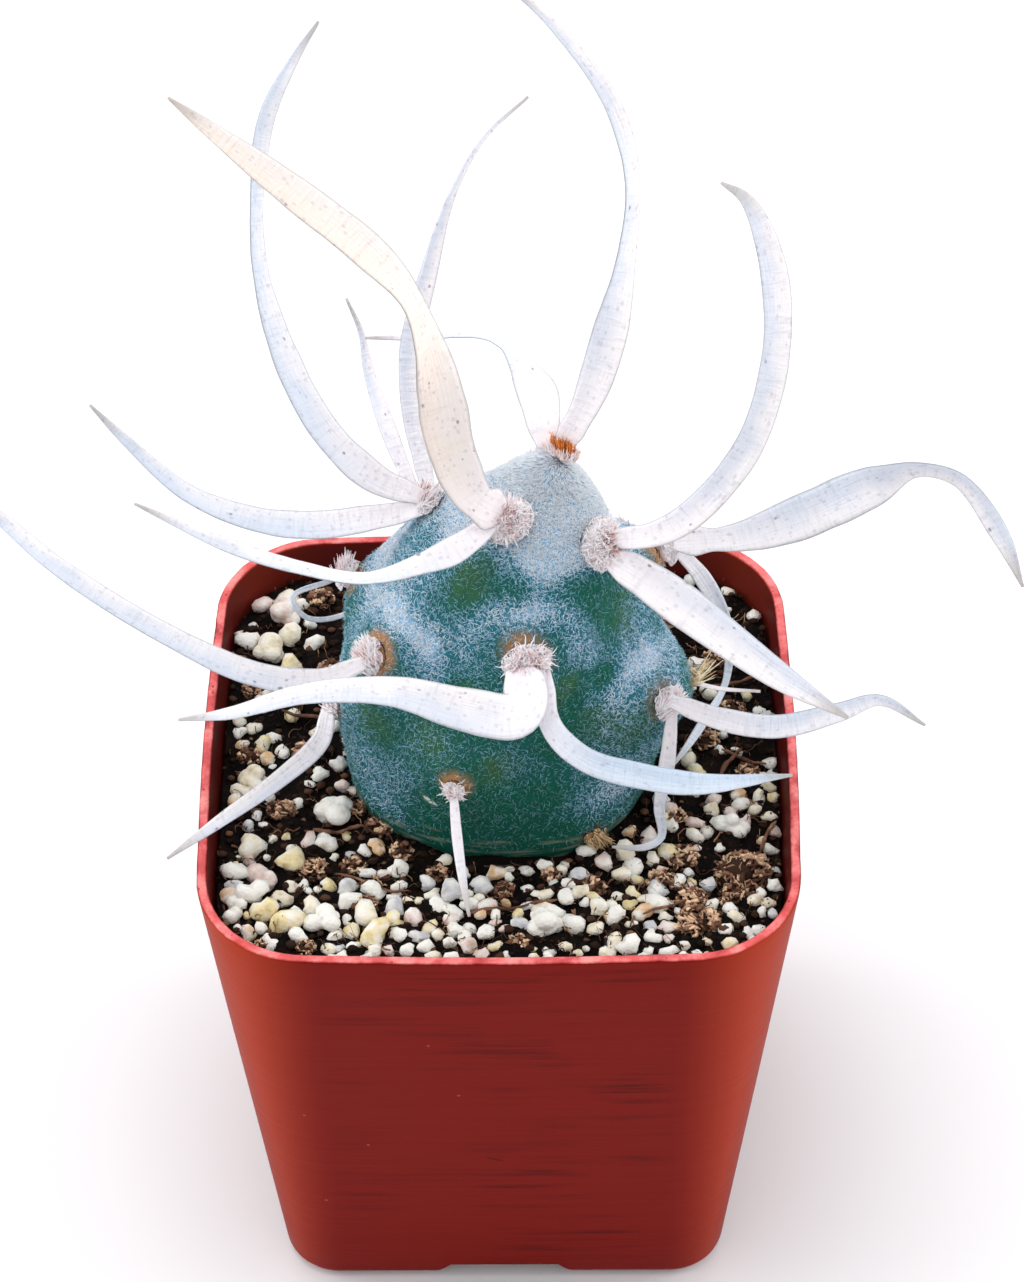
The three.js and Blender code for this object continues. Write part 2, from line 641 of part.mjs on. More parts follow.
AREOLES.forEach((areole, seed) => {
  let wool = makeWool(areole, seed, 0).subtract(stemWithGap);
  for (const spine of SPINES.filter((each) => each.areole === areole.name)) {
    wool = wool.subtract(makeBlade(spine, BLADE_GAP));
  }
  addPiece(`areole_${areole.name}`, toGeometry(largestPart(wool)), areole.look ?? 'wool');
  if (areole.name.startsWith('soil')) {
    soil = soil.subtract(makeWool(areole, seed, GAP));
  }
});

addPiece('soil', toGeometry(largestPart(soil)), 'soil');

for (const spine of SPINES) {
  addPiece(`spine_${spine.name}`, toGeometry(makeBlade(spine, 0)), spine.look ?? 'spine');
}

export default group;
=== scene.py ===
import math

import bmesh
import bpy
import numpy as np
from bpy.props import FloatProperty, FloatVectorProperty, IntProperty, PointerProperty
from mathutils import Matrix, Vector, noise


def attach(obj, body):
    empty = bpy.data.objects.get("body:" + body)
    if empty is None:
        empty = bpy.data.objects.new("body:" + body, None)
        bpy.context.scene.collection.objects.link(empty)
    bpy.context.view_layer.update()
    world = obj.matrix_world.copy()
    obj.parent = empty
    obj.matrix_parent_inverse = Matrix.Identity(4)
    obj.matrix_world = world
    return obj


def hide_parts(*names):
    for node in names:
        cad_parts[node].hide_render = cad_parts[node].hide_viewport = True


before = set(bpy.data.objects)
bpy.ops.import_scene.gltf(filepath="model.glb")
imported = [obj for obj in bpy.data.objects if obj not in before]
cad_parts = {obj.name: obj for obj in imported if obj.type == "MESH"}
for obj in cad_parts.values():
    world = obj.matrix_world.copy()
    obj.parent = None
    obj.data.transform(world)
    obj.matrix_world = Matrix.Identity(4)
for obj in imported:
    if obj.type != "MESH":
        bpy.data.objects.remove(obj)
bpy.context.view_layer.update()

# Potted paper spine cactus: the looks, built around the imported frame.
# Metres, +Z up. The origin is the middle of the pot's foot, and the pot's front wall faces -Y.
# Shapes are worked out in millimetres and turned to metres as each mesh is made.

bl_info = {
    "name": "Potted paper spine cactus",
    "version": (1, 0, 0),
    "blender": (4, 5, 0),
    "location": "View3D > Sidebar > Cactus",
    "description": "Builds a paper spine cactus that grows in a square nursery pot",
    "category": "Add Mesh",
}

MM = 0.001
TURN = 2 * math.pi
# A map for pieces made of many small parts, laid out by their shades
SHADE_MAP = "OFBake"

# Clearance between pieces that touch
GAP = 0.3

# Pot
POT_TOP_CORNER = 12
POT_FOOT_CORNER = 6.1
POT_FLOOR = 1.2
POT_WALL_BOW = 0.4
POT_RIM_ROUND = 0.35
POT_FOOT_ROUND = 1.8
CORNER_STEPS = 14
SIDE_STEPS = 36
CROSS_FOOT_WIDTH = 17.3
CROSS_TOP_WIDTH = 12.2
CROSS_HEIGHT = 2.6
CROSS_REACH = 40
DRAIN_DIAMETER = 5
DRAIN_SPACING = 13
DRAIN_DEPTH = 6.1
# The trimmed rim: its depth, how far it dips and sways, and how long its waves are
RIM_DEPTH = 0.5
RIM_DIP = 0.09
RIM_SWAY = 0.0012
RIM_WAVE = 1.4
FOOT_NICK = {"x": 12.6, "width": 2.8, "height": 0.7, "depth": 4}

# Potting mix
SOIL_LEVEL = 59
SOIL_FRONT_RISE = 1.6
SOIL_RISE_START = 12
SOIL_RISE_LENGTH = 16
SOIL_RINGS = 64
STEM_SEAT = 0.15
# The mix shows between the stem's foot and the wall
MIX_REACH = 30.5
STEM_FOOT_REACH = 16.3
PLACE_TRIES = 60
# Loose fibres stay this far from the stem's middle, from each wall and from the corners
FIBRE_NEAR = 17
FIBRE_FAR = 28.5
FIBRE_CORNER = 50

# Stem
STEM_CENTRE = np.array([0.6, 2, 74])
STEM_RADIUS = 15.6
STEM_UP = 24.5
STEM_DOWN = 28
STEM_TOP_ROUNDNESS = 1.68
STEM_FOOT_ROUNDNESS = 4
STEM_LEAN = np.array([4.5, 2.5, 0])
STEM_LEAN_POWER = 1.5
# How much deeper the skin lies between the swellings
STEM_HOLLOW = 0.9
# The bright arc over each areole: thicker felt, and partly painted light from above
RIDGE_RADIUS = 4.7
RIDGE_WIDTH = 1.5
STEM_AROUND = 200
STEM_UPWARDS = 120
# Where the stem leaves the mix, and how far it stands out of it
STEM_LOW = 60
STEM_TALL = 40
# How far a hair's root lies under the skin
HAIR_SUNK = 0.04

# How far a spine's root goes into the wool
ROOT_DEPTH = 0.7
BLADE_STEP = 0.55
BLADE_LINES = 9
# What moves one spine's pattern away from the next one's
BLADE_SHIFT = 13.1

# The camera, as it was fitted to the photo, in metres, degrees and millimetres
CAMERA_PLACE = (0.0049256, -0.3025674, 0.3812924)
CAMERA_TURN = (44.961, 0.513, 0.137)
CAMERA_LENS = 113.73
FLOOR_RADIUS = 3000
FLOOR_THICKNESS = 4
LIGHT_AIM = (0, 0, 0.07)
SKY_COLOUR = (0.98, 0.99, 1, 1)

# Seeds of the random draws
MIX_SEED = 7
WOOL_SEED = 19
HAIR_SEED = 31

# Areoles, the woolly cushions that the spines grow from: azimuth and elevation in degrees from the stem's
# centre, height and breadth of the swelling under them, half the cushion's length across and upwards, its
# height, and how its wool lies. Combed wool lies at the last number, in degrees from across.
AREOLES = {
    "crown": (0, 90, 1.1, 0.2, (2, 1.7, 1.7), "crown", 90),
    "front_high": (-118, 73, 2, 0.3, (2.2, 2.3, 1.8), "curled", 0),
    "right_high": (-50, 66, 2.4, 0.26, (2.3, 2.4, 1.8), "curled", 70),
    "left_high": (174, 61, 2.8, 0.3, (1.6, 1.8, 1.5), "splayed", 95),
    "right_shoulder": (16, 34, 2.6, 0.26, (1.8, 1.8, 1.7), "combed", 60),
    "front_middle": (-87, 42, 2.2, 0.34, (2.3, 1.6, 1.5), "curled", 0),
    "left_middle": (-149, 26, 2.6, 0.34, (1.8, 1.9, 1.5), "combed", 165),
    "left_low": (-172, -15, 2.4, 0.42, (1.4, 1.4, 1.3), "combed", 200),
    "right_middle": (-28, 6, 2.6, 0.34, (1.8, 1.55, 1.6), "combed", 25),
    "right_side": (-8, -2, 3.2, 0.3, (1, 0.95, 1), "bristled", 20),
    "front_low": (-107, -9, 1.8, 0.32, (0.95, 1.15, 1.1), "curled", 0),
    "left_shoulder": (164, 21, 2.6, 0.28, (1.6, 1.6, 1.4), "splayed", 110),
    "soil_right": (-55, -39, 1.2, 0.25, (1.3, 1.3, 1.2), "dry", -60),
    "soil_left": (-149, -44, 2, 0.34, (1.3, 1.3, 1.2), "dry", 215),
    "back_left_high": (135, 42, 1.6, 0.26, (1.8, 1.8, 1.6), "curled", 0),
    "back_high": (80, 50, 1.4, 0.26, (1.8, 1.8, 1.6), "curled", 0),
    "back_right_high": (45, 20, 1.2, 0.28, (1.7, 1.7, 1.5), "combed", 80),
    "back_middle": (100, 16, 2.4, 0.36, (1.8, 1.8, 1.5), "curled", 0),
    "back_right_low": (60, -4, 2.4, 0.36, (1.6, 1.6, 1.4), "combed", 60),
    "back_left_low": (135, -8, 2.4, 0.36, (1.6, 1.6, 1.4), "combed", 120),
}
# Hollows and fullness between the swellings: azimuth, elevation, swell, spread
STEM_SHAPING = [(130, 62, -2.4, 0.34), (25, 62, -1.8, 0.26), (-20, -24, 1.6, 0.4)]
# How strongly the skin beside an areole is tinged, where it isn't as usual
HALOS = {
    "crown": 0.4, "front_high": 0.35, "right_high": 0.35, "left_high": 0.5, "right_middle": 0.6, "soil_right": 0.15,
    "soil_left": 0.15, "left_middle": 1.3, "front_low": 1.1, "right_side": 0.9, "right_shoulder": 1,
}
HALO_USUAL = 0.8
# Patches of yellower skin: azimuth, elevation, spread
GREEN_PATCHES = [
    (-127, 60, 0.14), (-26, 42, 0.2), (-40, 0, 0.2), (-119, 6, 0.2), (-148, -2, 0.18), (-72, 26, 0.12),
    (-92, -2, 0.16), (-53, 10, 0.14), (-8, -2, 0.2), (60, 30, 0.25), (120, 5, 0.25), (170, 0, 0.2), (20, 5, 0.2),
    (-108, 30, 0.08), (-66, 32, 0.08),
]

# Where the felt is dense and the skin paler, partly as painted light and sheen, and the hollows where it is
# thin, darker partly as painted shade: azimuth, elevation, spread
BRIGHT_PATCHES = [
    (-90, 82, 0.3), (-80, 68, 0.14), (-27, 27, 0.2), (-25, 36, 0.13), (-153, 45, 0.16), (-130, 42, 0.1),
    (172, 40, 0.2), (-45, 8, 0.18), (100, 75, 0.35), (40, 40, 0.25), (130, 25, 0.3), (80, 25, 0.3),
]
LOW_PATCHES = [
    (-150, -12, 0.26), (-138, -27, 0.2), (-46, -25, 0.34), (170, -20, 0.3), (20, -20, 0.3), (95, -20, 0.3),
]
HOLLOWS = [
    (-122, 60, 0.13), (-98, 60, 0.1), (-70, 58, 0.12), (-52, 54, 0.12), (-40, 48, 0.12), (-46, 27, 0.1),
    (-62, 30, 0.09), (-112, 26, 0.1), (-68, 10, 0.22), (-100, 12, 0.2), (-145, -8, 0.28), (110, 45, 0.2),
    (60, 10, 0.2), (150, 10, 0.2), (-90, -32, 0.36),
]

# Spines, by points from root to tip: x, y, z, width, and turn of the blade in degrees
SPINES = {
    "crown_tall": [
        (6.8, 4.8, 101.6, 1.2, 0), (9.3, 6.5, 106, 3.1, 0), (11.2, 9, 111, 3.7, 5), (13.3, 14, 119, 3, 50),
        (13.9, 18, 126, 2.4, 50), (12, 21.5, 132.5, 1.8, 10), (6, 25, 140, 1.1, 0), (1, 26, 144.5, 0.3, 0)],
    "crown_curl": [
        (5, 5.4, 101.8, 1.2, 0), (4.8, 7.5, 103.5, 3.6, 0), (4.3, 11, 103.5, 4.3, 10), (3, 15.5, 103, 3.6, 40),
        (1, 20, 102, 2.6, 65), (-2, 23, 101, 1.4, 60), (-9.5, 24.5, 99.5, 0.7, 30), (-14, 24.5, 99.5, 0.3, 0)],
    "front_cream": [
        (0.6, -2.6, 99.2, 1.4, 0), (-2, -4.1, 102.7, 3.8, 0), (-4.2, -5, 110.2, 4.8, 0),
        (-5.2, -4.6, 117.1, 4.8, 10), (-6.4, -3.8, 123.3, 4.4, 50), (-7.9, -2.2, 127.3, 4.1, 55),
        (-11.8, 1.5, 130.1, 3.8, 20), (-18.7, 6.5, 133.1, 3.4, 5), (-27.4, 11.5, 137.5, 1.6, 0),
        (-31.5, 13.5, 139.9, 0.3, 0)],
    "front_left": [
        (-0.4, -3.4, 98.6, 1.4, 0), (-4, -7, 98.5, 2.9, 0), (-7.5, -9, 98.3, 2.3, 20), (-13, -10.3, 97.6, 2, 50),
        (-20, -10.3, 99.3, 1.8, 40), (-27, -9, 101.2, 1.4, 10), (-36, -7, 105, 0.3, 0)],
    "right_arch": [
        (12, -3.8, 96.8, 1.3, 0), (16, -5, 98.5, 2.6, 0), (20, -5.5, 102, 3, 0), (25.5, -3.5, 109.5, 3, 10),
        (28, 1, 118, 2.9, 10), (27.5, 6, 125, 2.8, 10), (25, 9.5, 130, 1.3, 0), (22.5, 11, 131, 0.3, 0)],
    "right_broad": [
        (11.8, -5.2, 95.2, 1.3, 0), (14, -6, 94.3, 3.4, 0), (18, -7.8, 92.2, 4.5, 0), (24.5, -11, 88.5, 3.6, 0),
        (29.5, -13, 85.5, 2.7, 0), (36, -14.5, 81.5, 0.4, 0)],
    "left_tall": [
        (-8.1, 4.8, 94.9, 1.3, 0), (-12.5, 5.2, 97, 3.1, 0), (-17.5, 7.5, 101.5, 3.1, 10),
        (-21.5, 12, 107.5, 3, 25), (-24, 17, 115, 2.4, 50), (-24.2, 21, 121.5, 1.9, 50),
        (-23, 25, 128.5, 1.8, 15), (-20, 27.5, 134, 1, 0), (-17.5, 29, 137.5, 0.3, 0)],
    "left_sweep": [
        (-8.6, 3.9, 93.6, 1.3, 0), (-12.5, 4.5, 92.2, 2.6, 0), (-18.5, 6, 89.7, 3, 0), (-25, 8, 88.5, 2.7, 10),
        (-32.5, 10, 90.5, 2, 20), (-39, 12.5, 96, 1.1, 0), (-42.5, 14, 99.5, 0.3, 0)],
    "right_long": [
        (18.7, 7, 86, 1.2, 0), (25.5, 7.5, 86.2, 3.2, 0), (31, 8, 88, 4.7, 0), (38.5, 8, 92.5, 4.6, 5),
        (43.5, 7.7, 95.6, 2.6, 55), (48, 6.5, 95.2, 2, 45), (52.5, 3.5, 90, 2, 10), (55, 1, 85, 0.3, 0)],
    "right_hook": [
        (19.1, 7.9, 84.1, 1, 0), (22, 9, 78.5, 1.9, 0), (24.7, 9.3, 71, 1.3, 10), (24.7, 6.5, 65.6, 0.8, 0),
        (21.5, 0.5, 64, 1, 0), (18.4, -6, 65, 0.3, 0)],
    "front_broad": [
        (2.2, -13.4, 87.3, 1.8, 0), (3.2, -17, 87.3, 4.2, 0), (2, -19.5, 87.2, 4.7, 0),
        (-3.5, -20.7, 89.5, 4.4, 0), (-10, -19.3, 90.5, 3.1, 0), (-19, -16.5, 87.5, 2.2, 0),
        (-27.5, -13.5, 81.5, 1.3, 0), (-33, -12, 79, 0.3, 0)],
    "front_right": [
        (4.9, -12.9, 86.3, 1.2, 0), (5.6, -18, 84, 2.3, 0), (9, -20.7, 82, 2.5, 0), (15, -20.8, 79.5, 2.7, 0),
        (21, -19.5, 77, 2.2, 0), (30.5, -16, 74.5, 0.3, 0)],
    "left_long": [
        (-14.2, -7.6, 82.6, 1.2, 0), (-18.5, -9.2, 81.8, 2.6, 0), (-25, -9.5, 83.2, 2.6, 0),
        (-34.5, -7, 86.9, 2.2, 10), (-45, -3, 92.4, 1.9, 10), (-51, 1, 95.5, 1.3, 0), (-55, 2.5, 98.5, 0.3, 0)],
    "left_drooping": [
        (-18.3, -1.4, 69.2, 1.2, 0), (-19, -6, 69.3, 2.1, 0), (-23, -11, 69, 1.9, 0),
        (-29, -16.5, 68.5, 1.4, 0), (-34.5, -20.5, 67, 0.3, 0)],
    "right_forward": [
        (18.4, -8, 77.2, 1.2, 0), (23, -9.8, 76.6, 2.3, 0), (29, -10, 75.5, 2.5, 0), (35.5, -8.5, 76, 2.2, 20),
        (40, -7, 76.3, 1.4, 30), (45, -7, 72.5, 0.3, 0)],
    "right_bent": [
        (18.2, -8.4, 75, 1.1, 0), (17.8, -10.2, 70.5, 1.7, 0), (17, -12, 65.5, 1.2, 0),
        (17.2, -13.3, 62, 0.9, 0), (15.5, -14.2, 61.5, 0.8, 0), (12, -14.8, 62.2, 0.3, 0)],
    "front_short": [
        (-4.6, -15.9, 71.1, 0.8, 0), (-4.3, -19, 69, 1.1, 0), (-3.7, -23, 66.5, 0.9, 0),
        (-3, -26.5, 64.5, 0.3, 0)],
    "left_loop": [
        (-13.9, 15.4, 70.9, 0.6, 0), (-17, 12.5, 70, 0.6, 0), (-21, 10.6, 71.5, 0.6, 0),
        (-22.4, 11.5, 73.6, 0.6, 0), (-19, 15.5, 72, 0.6, 0), (-17, 17.5, 71, 0.3, 0)],
    "right_needle": [
        (20.6, -1, 73, 0.5, 0), (23.5, -0.7, 71.7, 0.5, 0), (28, 0.5, 70, 0.3, 0)],
    "back_tall": [
        (-7.4, 13.9, 87.7, 1.2, 0), (-8.9, 18.2, 93, 2.1, 0), (-9, 22.5, 100, 2.5, 0), (-7, 26, 107.5, 1.9, 0),
        (-4.5, 28.5, 115.5, 0.8, 0), (-1, 30, 122, 0.5, 0), (3.5, 31.5, 126, 0.3, 0)],
    "back_left_curved": [
        (-8.9, 13.6, 87, 1, 0), (-11.4, 18.6, 90.8, 1.8, 0), (-13.7, 24, 95, 1.2, 0),
        (-14.5, 26.5, 98.5, 0.7, 0), (-16, 28, 102, 0.3, 0)],
    "back_drooping": [
        (5.2, 17.2, 89.4, 1.2, 0), (5.4, 20.8, 86, 2.4, 10), (3.5, 25.5, 79.5, 2.2, 30),
        (0.5, 29, 73.5, 1.5, 20), (-1.5, 30.5, 68.5, 0.3, 0)],
    "back_right_curved": [
        (13.8, 15.4, 80, 1.2, 0), (13.8, 19.5, 77, 2.2, 0), (12, 24.5, 71.5, 1.8, 25), (9, 28, 67.5, 0.3, 0)],
    "back_left_drooping": [
        (-2.2, 21.2, 79.3, 1.2, 0), (-5, 25, 76, 2, 0), (-9, 27.8, 70, 1.6, 20), (-11, 28.6, 65, 0.3, 0)],
    "back_low": [
        (10.6, 19.1, 72.7, 1.1, 0), (10, 23.5, 70.3, 1.8, 0), (7, 27, 67, 1.3, 10), (2.5, 28.8, 64, 0.3, 0)],
}

# Spines whose blade faces the back, and not the front
BACK_SPINES = ("back_drooping", "back_right_curved", "back_left_drooping", "back_low")
# Spines that are broad from their very root
BROAD_ROOTS = ("front_broad", "front_cream")
# How strongly each spine is painted bluer and darker, as painted shade where it lies in shade by the stem
SHADED_SPINES = {
    "front_right": 0.8, "right_bent": 0.5, "right_hook": 0.5, "left_loop": 0.4, "left_sweep": 0.3,
    "right_forward": 0.25, "left_tall": 0.25, "left_long": 0.15, "right_long": 0.1,
}

# The largest lumps, which the frame has as solids: x, y, size across and shade
PERLITE = {
    "left_large": (-18.1, -7, 4.4, 0.1), "left_front": (-24.8, -17, 3.8, 0.75),
    "front_left": (-18.2, -23.7, 3.8, 0.1), "front": (5, -24.5, 4.2, 0.05), "left_edge": (-27.2, -2.1, 3.8, 0.3),
    "back_left": (-24.8, 23, 4, 0.75), "left_back": (-25.9, 17.2, 4.4, 0.3), "right_front": (25, -9.7, 3.4, 0.1),
}
BARK = {"right": (26, -16.3, 6.2), "front": (20.8, -24.2, 4.8)}

# Shades of a grain: w white, c cream, y yellowish, o tan, p pinkish, g grey
SHADES = {"w": 0.08, "c": 0.25, "y": 0.42, "o": 0.58, "p": 0.75, "g": 0.92}
# The grains that catch the eye, by shade: x, y, size across
GRAINS = {
    "w": [
        (-30, -16.5, 2.5), (-26, -20, 2.6), (-18.5, -11.5, 2), (-10.5, -15.5, 2), (-13.5, -18.5, 2.1),
        (-16, -20.5, 2.1), (-6.5, -21.5, 1.9), (-5, -22, 1.8), (-10.5, -26, 1.6), (-4.5, -25, 1.7),
        (-3, -24.5, 1.4), (-1.5, -25.5, 1.6), (-27.5, -21, 1.9), (-28.5, -23, 1.9), (-21, -26, 1.8),
        (-23.5, -27, 1.7), (-17, -25.5, 1.5), (18.5, -9.5, 1.4), (14, -15, 2.2), (16.5, -21, 2.1),
        (12, -23.5, 2), (8, -24.5, 2.3), (7, -20.5, 1.7), (13.5, -27.5, 2.1), (23.5, -25.5, 1.4),
        (24.5, -22, 1.6), (27.5, -22.5, 1), (26, -25.5, 1.3), (23.5, -9, 1.4), (26, -6, 1.8), (-28.5, 19, 2.2),
        (-21, 19, 1.9), (-25, 4, 1.6), (-18.5, -11, 1.7), (6, -22.5, 1.7)],
    "c": [
        (-26.5, -11.5, 2.6), (-19.5, -21.5, 2), (-14, -23, 2.7), (-7, -19.5, 1.5), (-22, -18, 1.4),
        (-23, -20, 2.1), (13.5, -13, 2.3), (13, -16.5, 1.7), (17.5, -23, 1.3), (10.5, -22, 1.8), (12, -21.5, 1.4),
        (8.5, -19.5, 1.7), (12, -27, 1.8), (25, -23.5, 1.9), (21, -11, 1.7), (23, -7, 1.6), (28, -5.5, 1.5),
        (29, -8, 1.3), (20.5, 0.5, 1.7), (-24.5, 25.5, 2.2), (-24, 20, 2.5), (-27, 5.5, 1.4), (-28, -4, 2),
        (4.5, -20, 1.7), (4.5, -21.8, 1.4)],
    "y": [
        (-22, -14.5, 2.8), (-18, -18, 1.5), (-13, -26, 2.7), (-11, -24, 1.7), (-22.5, -24, 2.9),
        (-24.5, -22.5, 2.6), (-15.5, -25, 1.8), (18.5, -13, 2.2), (10, -20, 1.5), (21.5, -1.5, 1.7),
        (-23.5, 14.5, 2.4), (-26, 3.5, 2)],
    "o": [
        (-13, -12, 1.8), (-30, -19.5, 1.9), (14, -10, 1.3), (15, -22.5, 1.8), (28, -11, 1.1), (-25.5, 1, 1.5),
        (-28.5, -6, 1.6)],
    "p": [
        (-9, -23.5, 2.1), (-1.5, -21.5, 1.7), (-26.5, -14, 1.3), (-12.5, -16, 1.3), (16, -10.5, 2),
        (18.5, -7, 1.6), (11, -15, 1.7), (17.5, -24.5, 1.6), (21, -8.5, 1.7), (26.5, -8.5, 1.2), (25, -7, 1.6),
        (23.5, -12.5, 1), (-28, 26, 2), (-17, -3, 1.5)],
    "g": [
        (-16, -18.5, 2), (-11, -21.5, 2.3), (-5, -19.5, 2.2), (-2, -18.5, 2.1), (-8.5, -26, 1.8),
        (-28, -18, 1.4), (2, -24.5, 1.7), (8.5, -16.5, 2.1), (16.5, -19, 2.1), (16, -24.5, 1.3), (21, -20, 1.3),
        (20, -16, 1.1), (-27, -9, 1.3), (3, -21.5, 1.3)],
}
# Nuggets of husk fibre that show as brown mats: x, y, size across
HUSKS = [
    (19.5, -13.6, 3.6), (17.2, -17.6, 3), (20.3, -20.6, 3.2), (9.8, -18.2, 3), (24.5, -19.7, 2.8), (-14, -21, 2.2),
    (-19.8, -15.2, 3.2), (-15.5, -14.5, 2.8), (-13, -9, 3), (-23.5, -6.5, 3), (-21.5, 2, 2.6), (-27.5, 1.5, 2.4),
    (-18.5, 14.5, 3.4), (-20.5, 25.5, 3), (-27.5, 12, 2.6), (22.5, 3.5, 3.2), (27, -1, 2.6), (25.5, 8, 3),
    (24, 16, 3), (20, 24, 3.2), (8, 26, 3), (-4, 26.5, 2.6), (0.5, -18.5, 2.4), (-20, -27.5, 2), (2, -27, 2),
    (-10.5, -12.8, 2.6), (-6.5, -16.2, 2.2), (5.5, -16.8, 2.2), (-15.5, -6.5, 2.2), (19, -8, 2.2), (-24.5, -27, 1.8),
]
# Twigs lying on the mix, from end to end: x, y, x, y and thickness
TWIGS = [
    (-3.5, -23.2, 6.4, -21.2, 0.35), (24, -2.5, 26.4, 2, 0.45), (24, 1, 29, -0.5, 0.35), (20, -21, 15, -23.5, 0.3),
    (27.5, -14, 29.5, -9.5, 0.4), (-17.5, -17, -9.5, -19.5, 0.3), (-20, -10.5, -14.5, -9.5, 0.4),
    (-24, 8, -19, 6, 0.4), (-15, 25, -6, 24, 0.4), (12, 25, 20, 20.5, 0.45), (22, 10, 29, 13, 0.4),
]


def linear(colour):
    """Linear red, green and blue of an sRGB hex colour."""
    channels = [int(colour[i:i + 2], 16) / 255 for i in (0, 2, 4)]
    return tuple(c / 12.92 if c <= 0.04045 else ((c + 0.055) / 1.055) ** 2.4 for c in channels)


def colour_property(name, description, colour):
    """A colour that a user can change."""
    return FloatVectorProperty(name=name, description=description, default=linear(colour), subtype="COLOR",
                               size=3, min=0, max=1)


def length_property(name, description, size):
    """A length that a user can change. Its default is given in millimetres."""
    return FloatProperty(name=name, description=description, default=size * MM, unit="LENGTH", min=0)


class CactusPotSettings(bpy.types.PropertyGroup):
    top_width: length_property("Top width", "Width of the pot across its rim", 63.5)
    foot_width: length_property("Foot width", "Width of the pot across its foot", 50)
    height: length_property("Height", "Height of the pot", 63.5)
    wall: length_property("Wall", "Thickness of the pot's walls", 1.1)
    wall_colour: colour_property("Wall", "Colour of the moulded plastic", "781007")
    streak_colour: colour_property("Streaks", "Colour of the drag marks along the walls", "420907")
    # Painted light: the lit top edge is paler; this colour also tints the dust specks
    lit_rim_and_dust_colour: colour_property("Rim", "Colour of the trimmed edge", "e8686a")
    # Painted light: the warmer colour of the corners, as lit from the sides
    corner_light_colour: colour_property("Corners", "Colour of the thinner plastic at the corners", "c0401a")


class CactusMixSettings(bpy.types.PropertyGroup):
    grains: IntProperty(name="Grains", description="Small perlite grains besides the chosen ones", default=260, min=0)
    crumbs: IntProperty(name="Crumbs", description="Dark crumbs of peat on the surface", default=1100, min=0)
    fibres: IntProperty(name="Fibres", description="Loose husk fibres on the surface", default=900, min=0)
    peat_colour: colour_property("Peat", "Colour of the damp peat", "0c0807")
    crumb_colour: colour_property("Crumbs", "Colour of the drier crumbs", "2c1e18")
    husk_colour: colour_property("Husk", "Colour of the husk fibres", "8e6450")
    perlite_colour: colour_property("Perlite", "Colour of the whitest grains", "f4f1ea")


class CactusStemSettings(bpy.types.PropertyGroup):
    hairs: IntProperty(name="Hairs", description="Short hairs on each half of the stem", default=36000, min=0)
    hair_length: length_property("Hair length", "Length of the velvety hairs", 0.58)
    hair_width: length_property("Hair width", "Width of a hair at its root, drawn coarser than the real one", 0.12)
    # The skin's ramp, by felt and partly by painted light and shade, from the hollows to the crests
    deep_colour: colour_property("Hollows", "Colour of the skin in the hollows and low down", "0d5a4a")
    skin_colour: colour_property("Skin", "Colour of the skin on the sides", "1b5e60")
    felt_and_light_colour: colour_property("Ridges", "Colour of the skin on the swellings", "2c7488")
    crest_colour: colour_property("Crests", "Colour of the skin where the felt is thickest", "84b4d4")
    patch_colour: colour_property("Patches", "Colour of the yellower patches", "3d6233")
    halo_colour: colour_property("Halo", "Colour of the skin beside an areole", "b88456")
    hair_colour: colour_property("Hair", "Colour of the hairs", "f2f8ff")


class CactusWoolSettings(bpy.types.PropertyGroup):
    strands: IntProperty(name="Strands", description="Strands of wool in a middling areole", default=150, min=0)
    thickness: length_property("Thickness", "Thickness of a strand, drawn coarser than the real one", 0.19)
    pale_colour: colour_property("Pale wool", "Colour of the palest strands", "fff4f8")
    dark_colour: colour_property("Dark wool", "Colour of the darker strands", "c88f82")
    crown_colour: colour_property("Crown", "Colour of the young bristles at the top", "e07b1c")
    dry_colour: colour_property("Dry wool", "Colour of the old areoles at the mix", "a98257")


class CactusSpineSettings(bpy.types.PropertyGroup):
    thickness: length_property("Thickness", "Thickness of a spine along its middle", 0.26)
    edge: length_property("Edge", "Thickness of a spine at its edges", 0.08)
    pale_colour: colour_property("Pale half", "Colour of the lit half of a spine", "fbf5f7")
    # Painted shade: the colour of a blade's shaded half
    shaded_half_colour: colour_property("Blue half", "Colour of the cooler half of a spine", "e2e5f0")
    cream_colour: colour_property("Cream", "Colour of the warm spine", "f8e9e0")
    shadow_colour: colour_property("Bluest", "Colour of the spines that lie near the stem", "b9cfe4")
    speck_colour: colour_property("Specks", "Colour of the specks", "6d6478")
    edge_colour: colour_property("Edges", "Colour of the thin edges", "858c92")
    tip_colour: colour_property("Tips", "Colour of the withered tips", "a39a90")


class CactusStageSettings(bpy.types.PropertyGroup):
    floor_colour: colour_property("Floor", "Colour of the floor", "f6f6f8")
    key_power: FloatProperty(name="Key light", description="Power of the light from above", default=3.2, unit="POWER")
    side_power: FloatProperty(name="Side lights", description="Power of each side light", default=2.2, unit="POWER")
    sky: FloatProperty(name="Sky", description="Strength of the even light all round", default=0.82, min=0)


# Shapes


def unit(vectors):
    """The same vectors, one unit long."""
    return vectors / np.maximum(np.linalg.norm(vectors, axis=-1, keepdims=True), 1e-9)


def smoothstep(value, low, high):
    """0 below low, 1 above high, and a smooth rise between."""
    share = np.clip((value - low) / (high - low), 0, 1)
    return share * share * (3 - 2 * share)


def directions_of(azimuth, elevation):
    """Unit directions, from angles in radians."""
    azimuth, elevation = np.broadcast_arrays(azimuth, elevation)
    level = np.cos(elevation)
    return np.stack([level * np.cos(azimuth), level * np.sin(azimuth), np.sin(elevation)], -1)


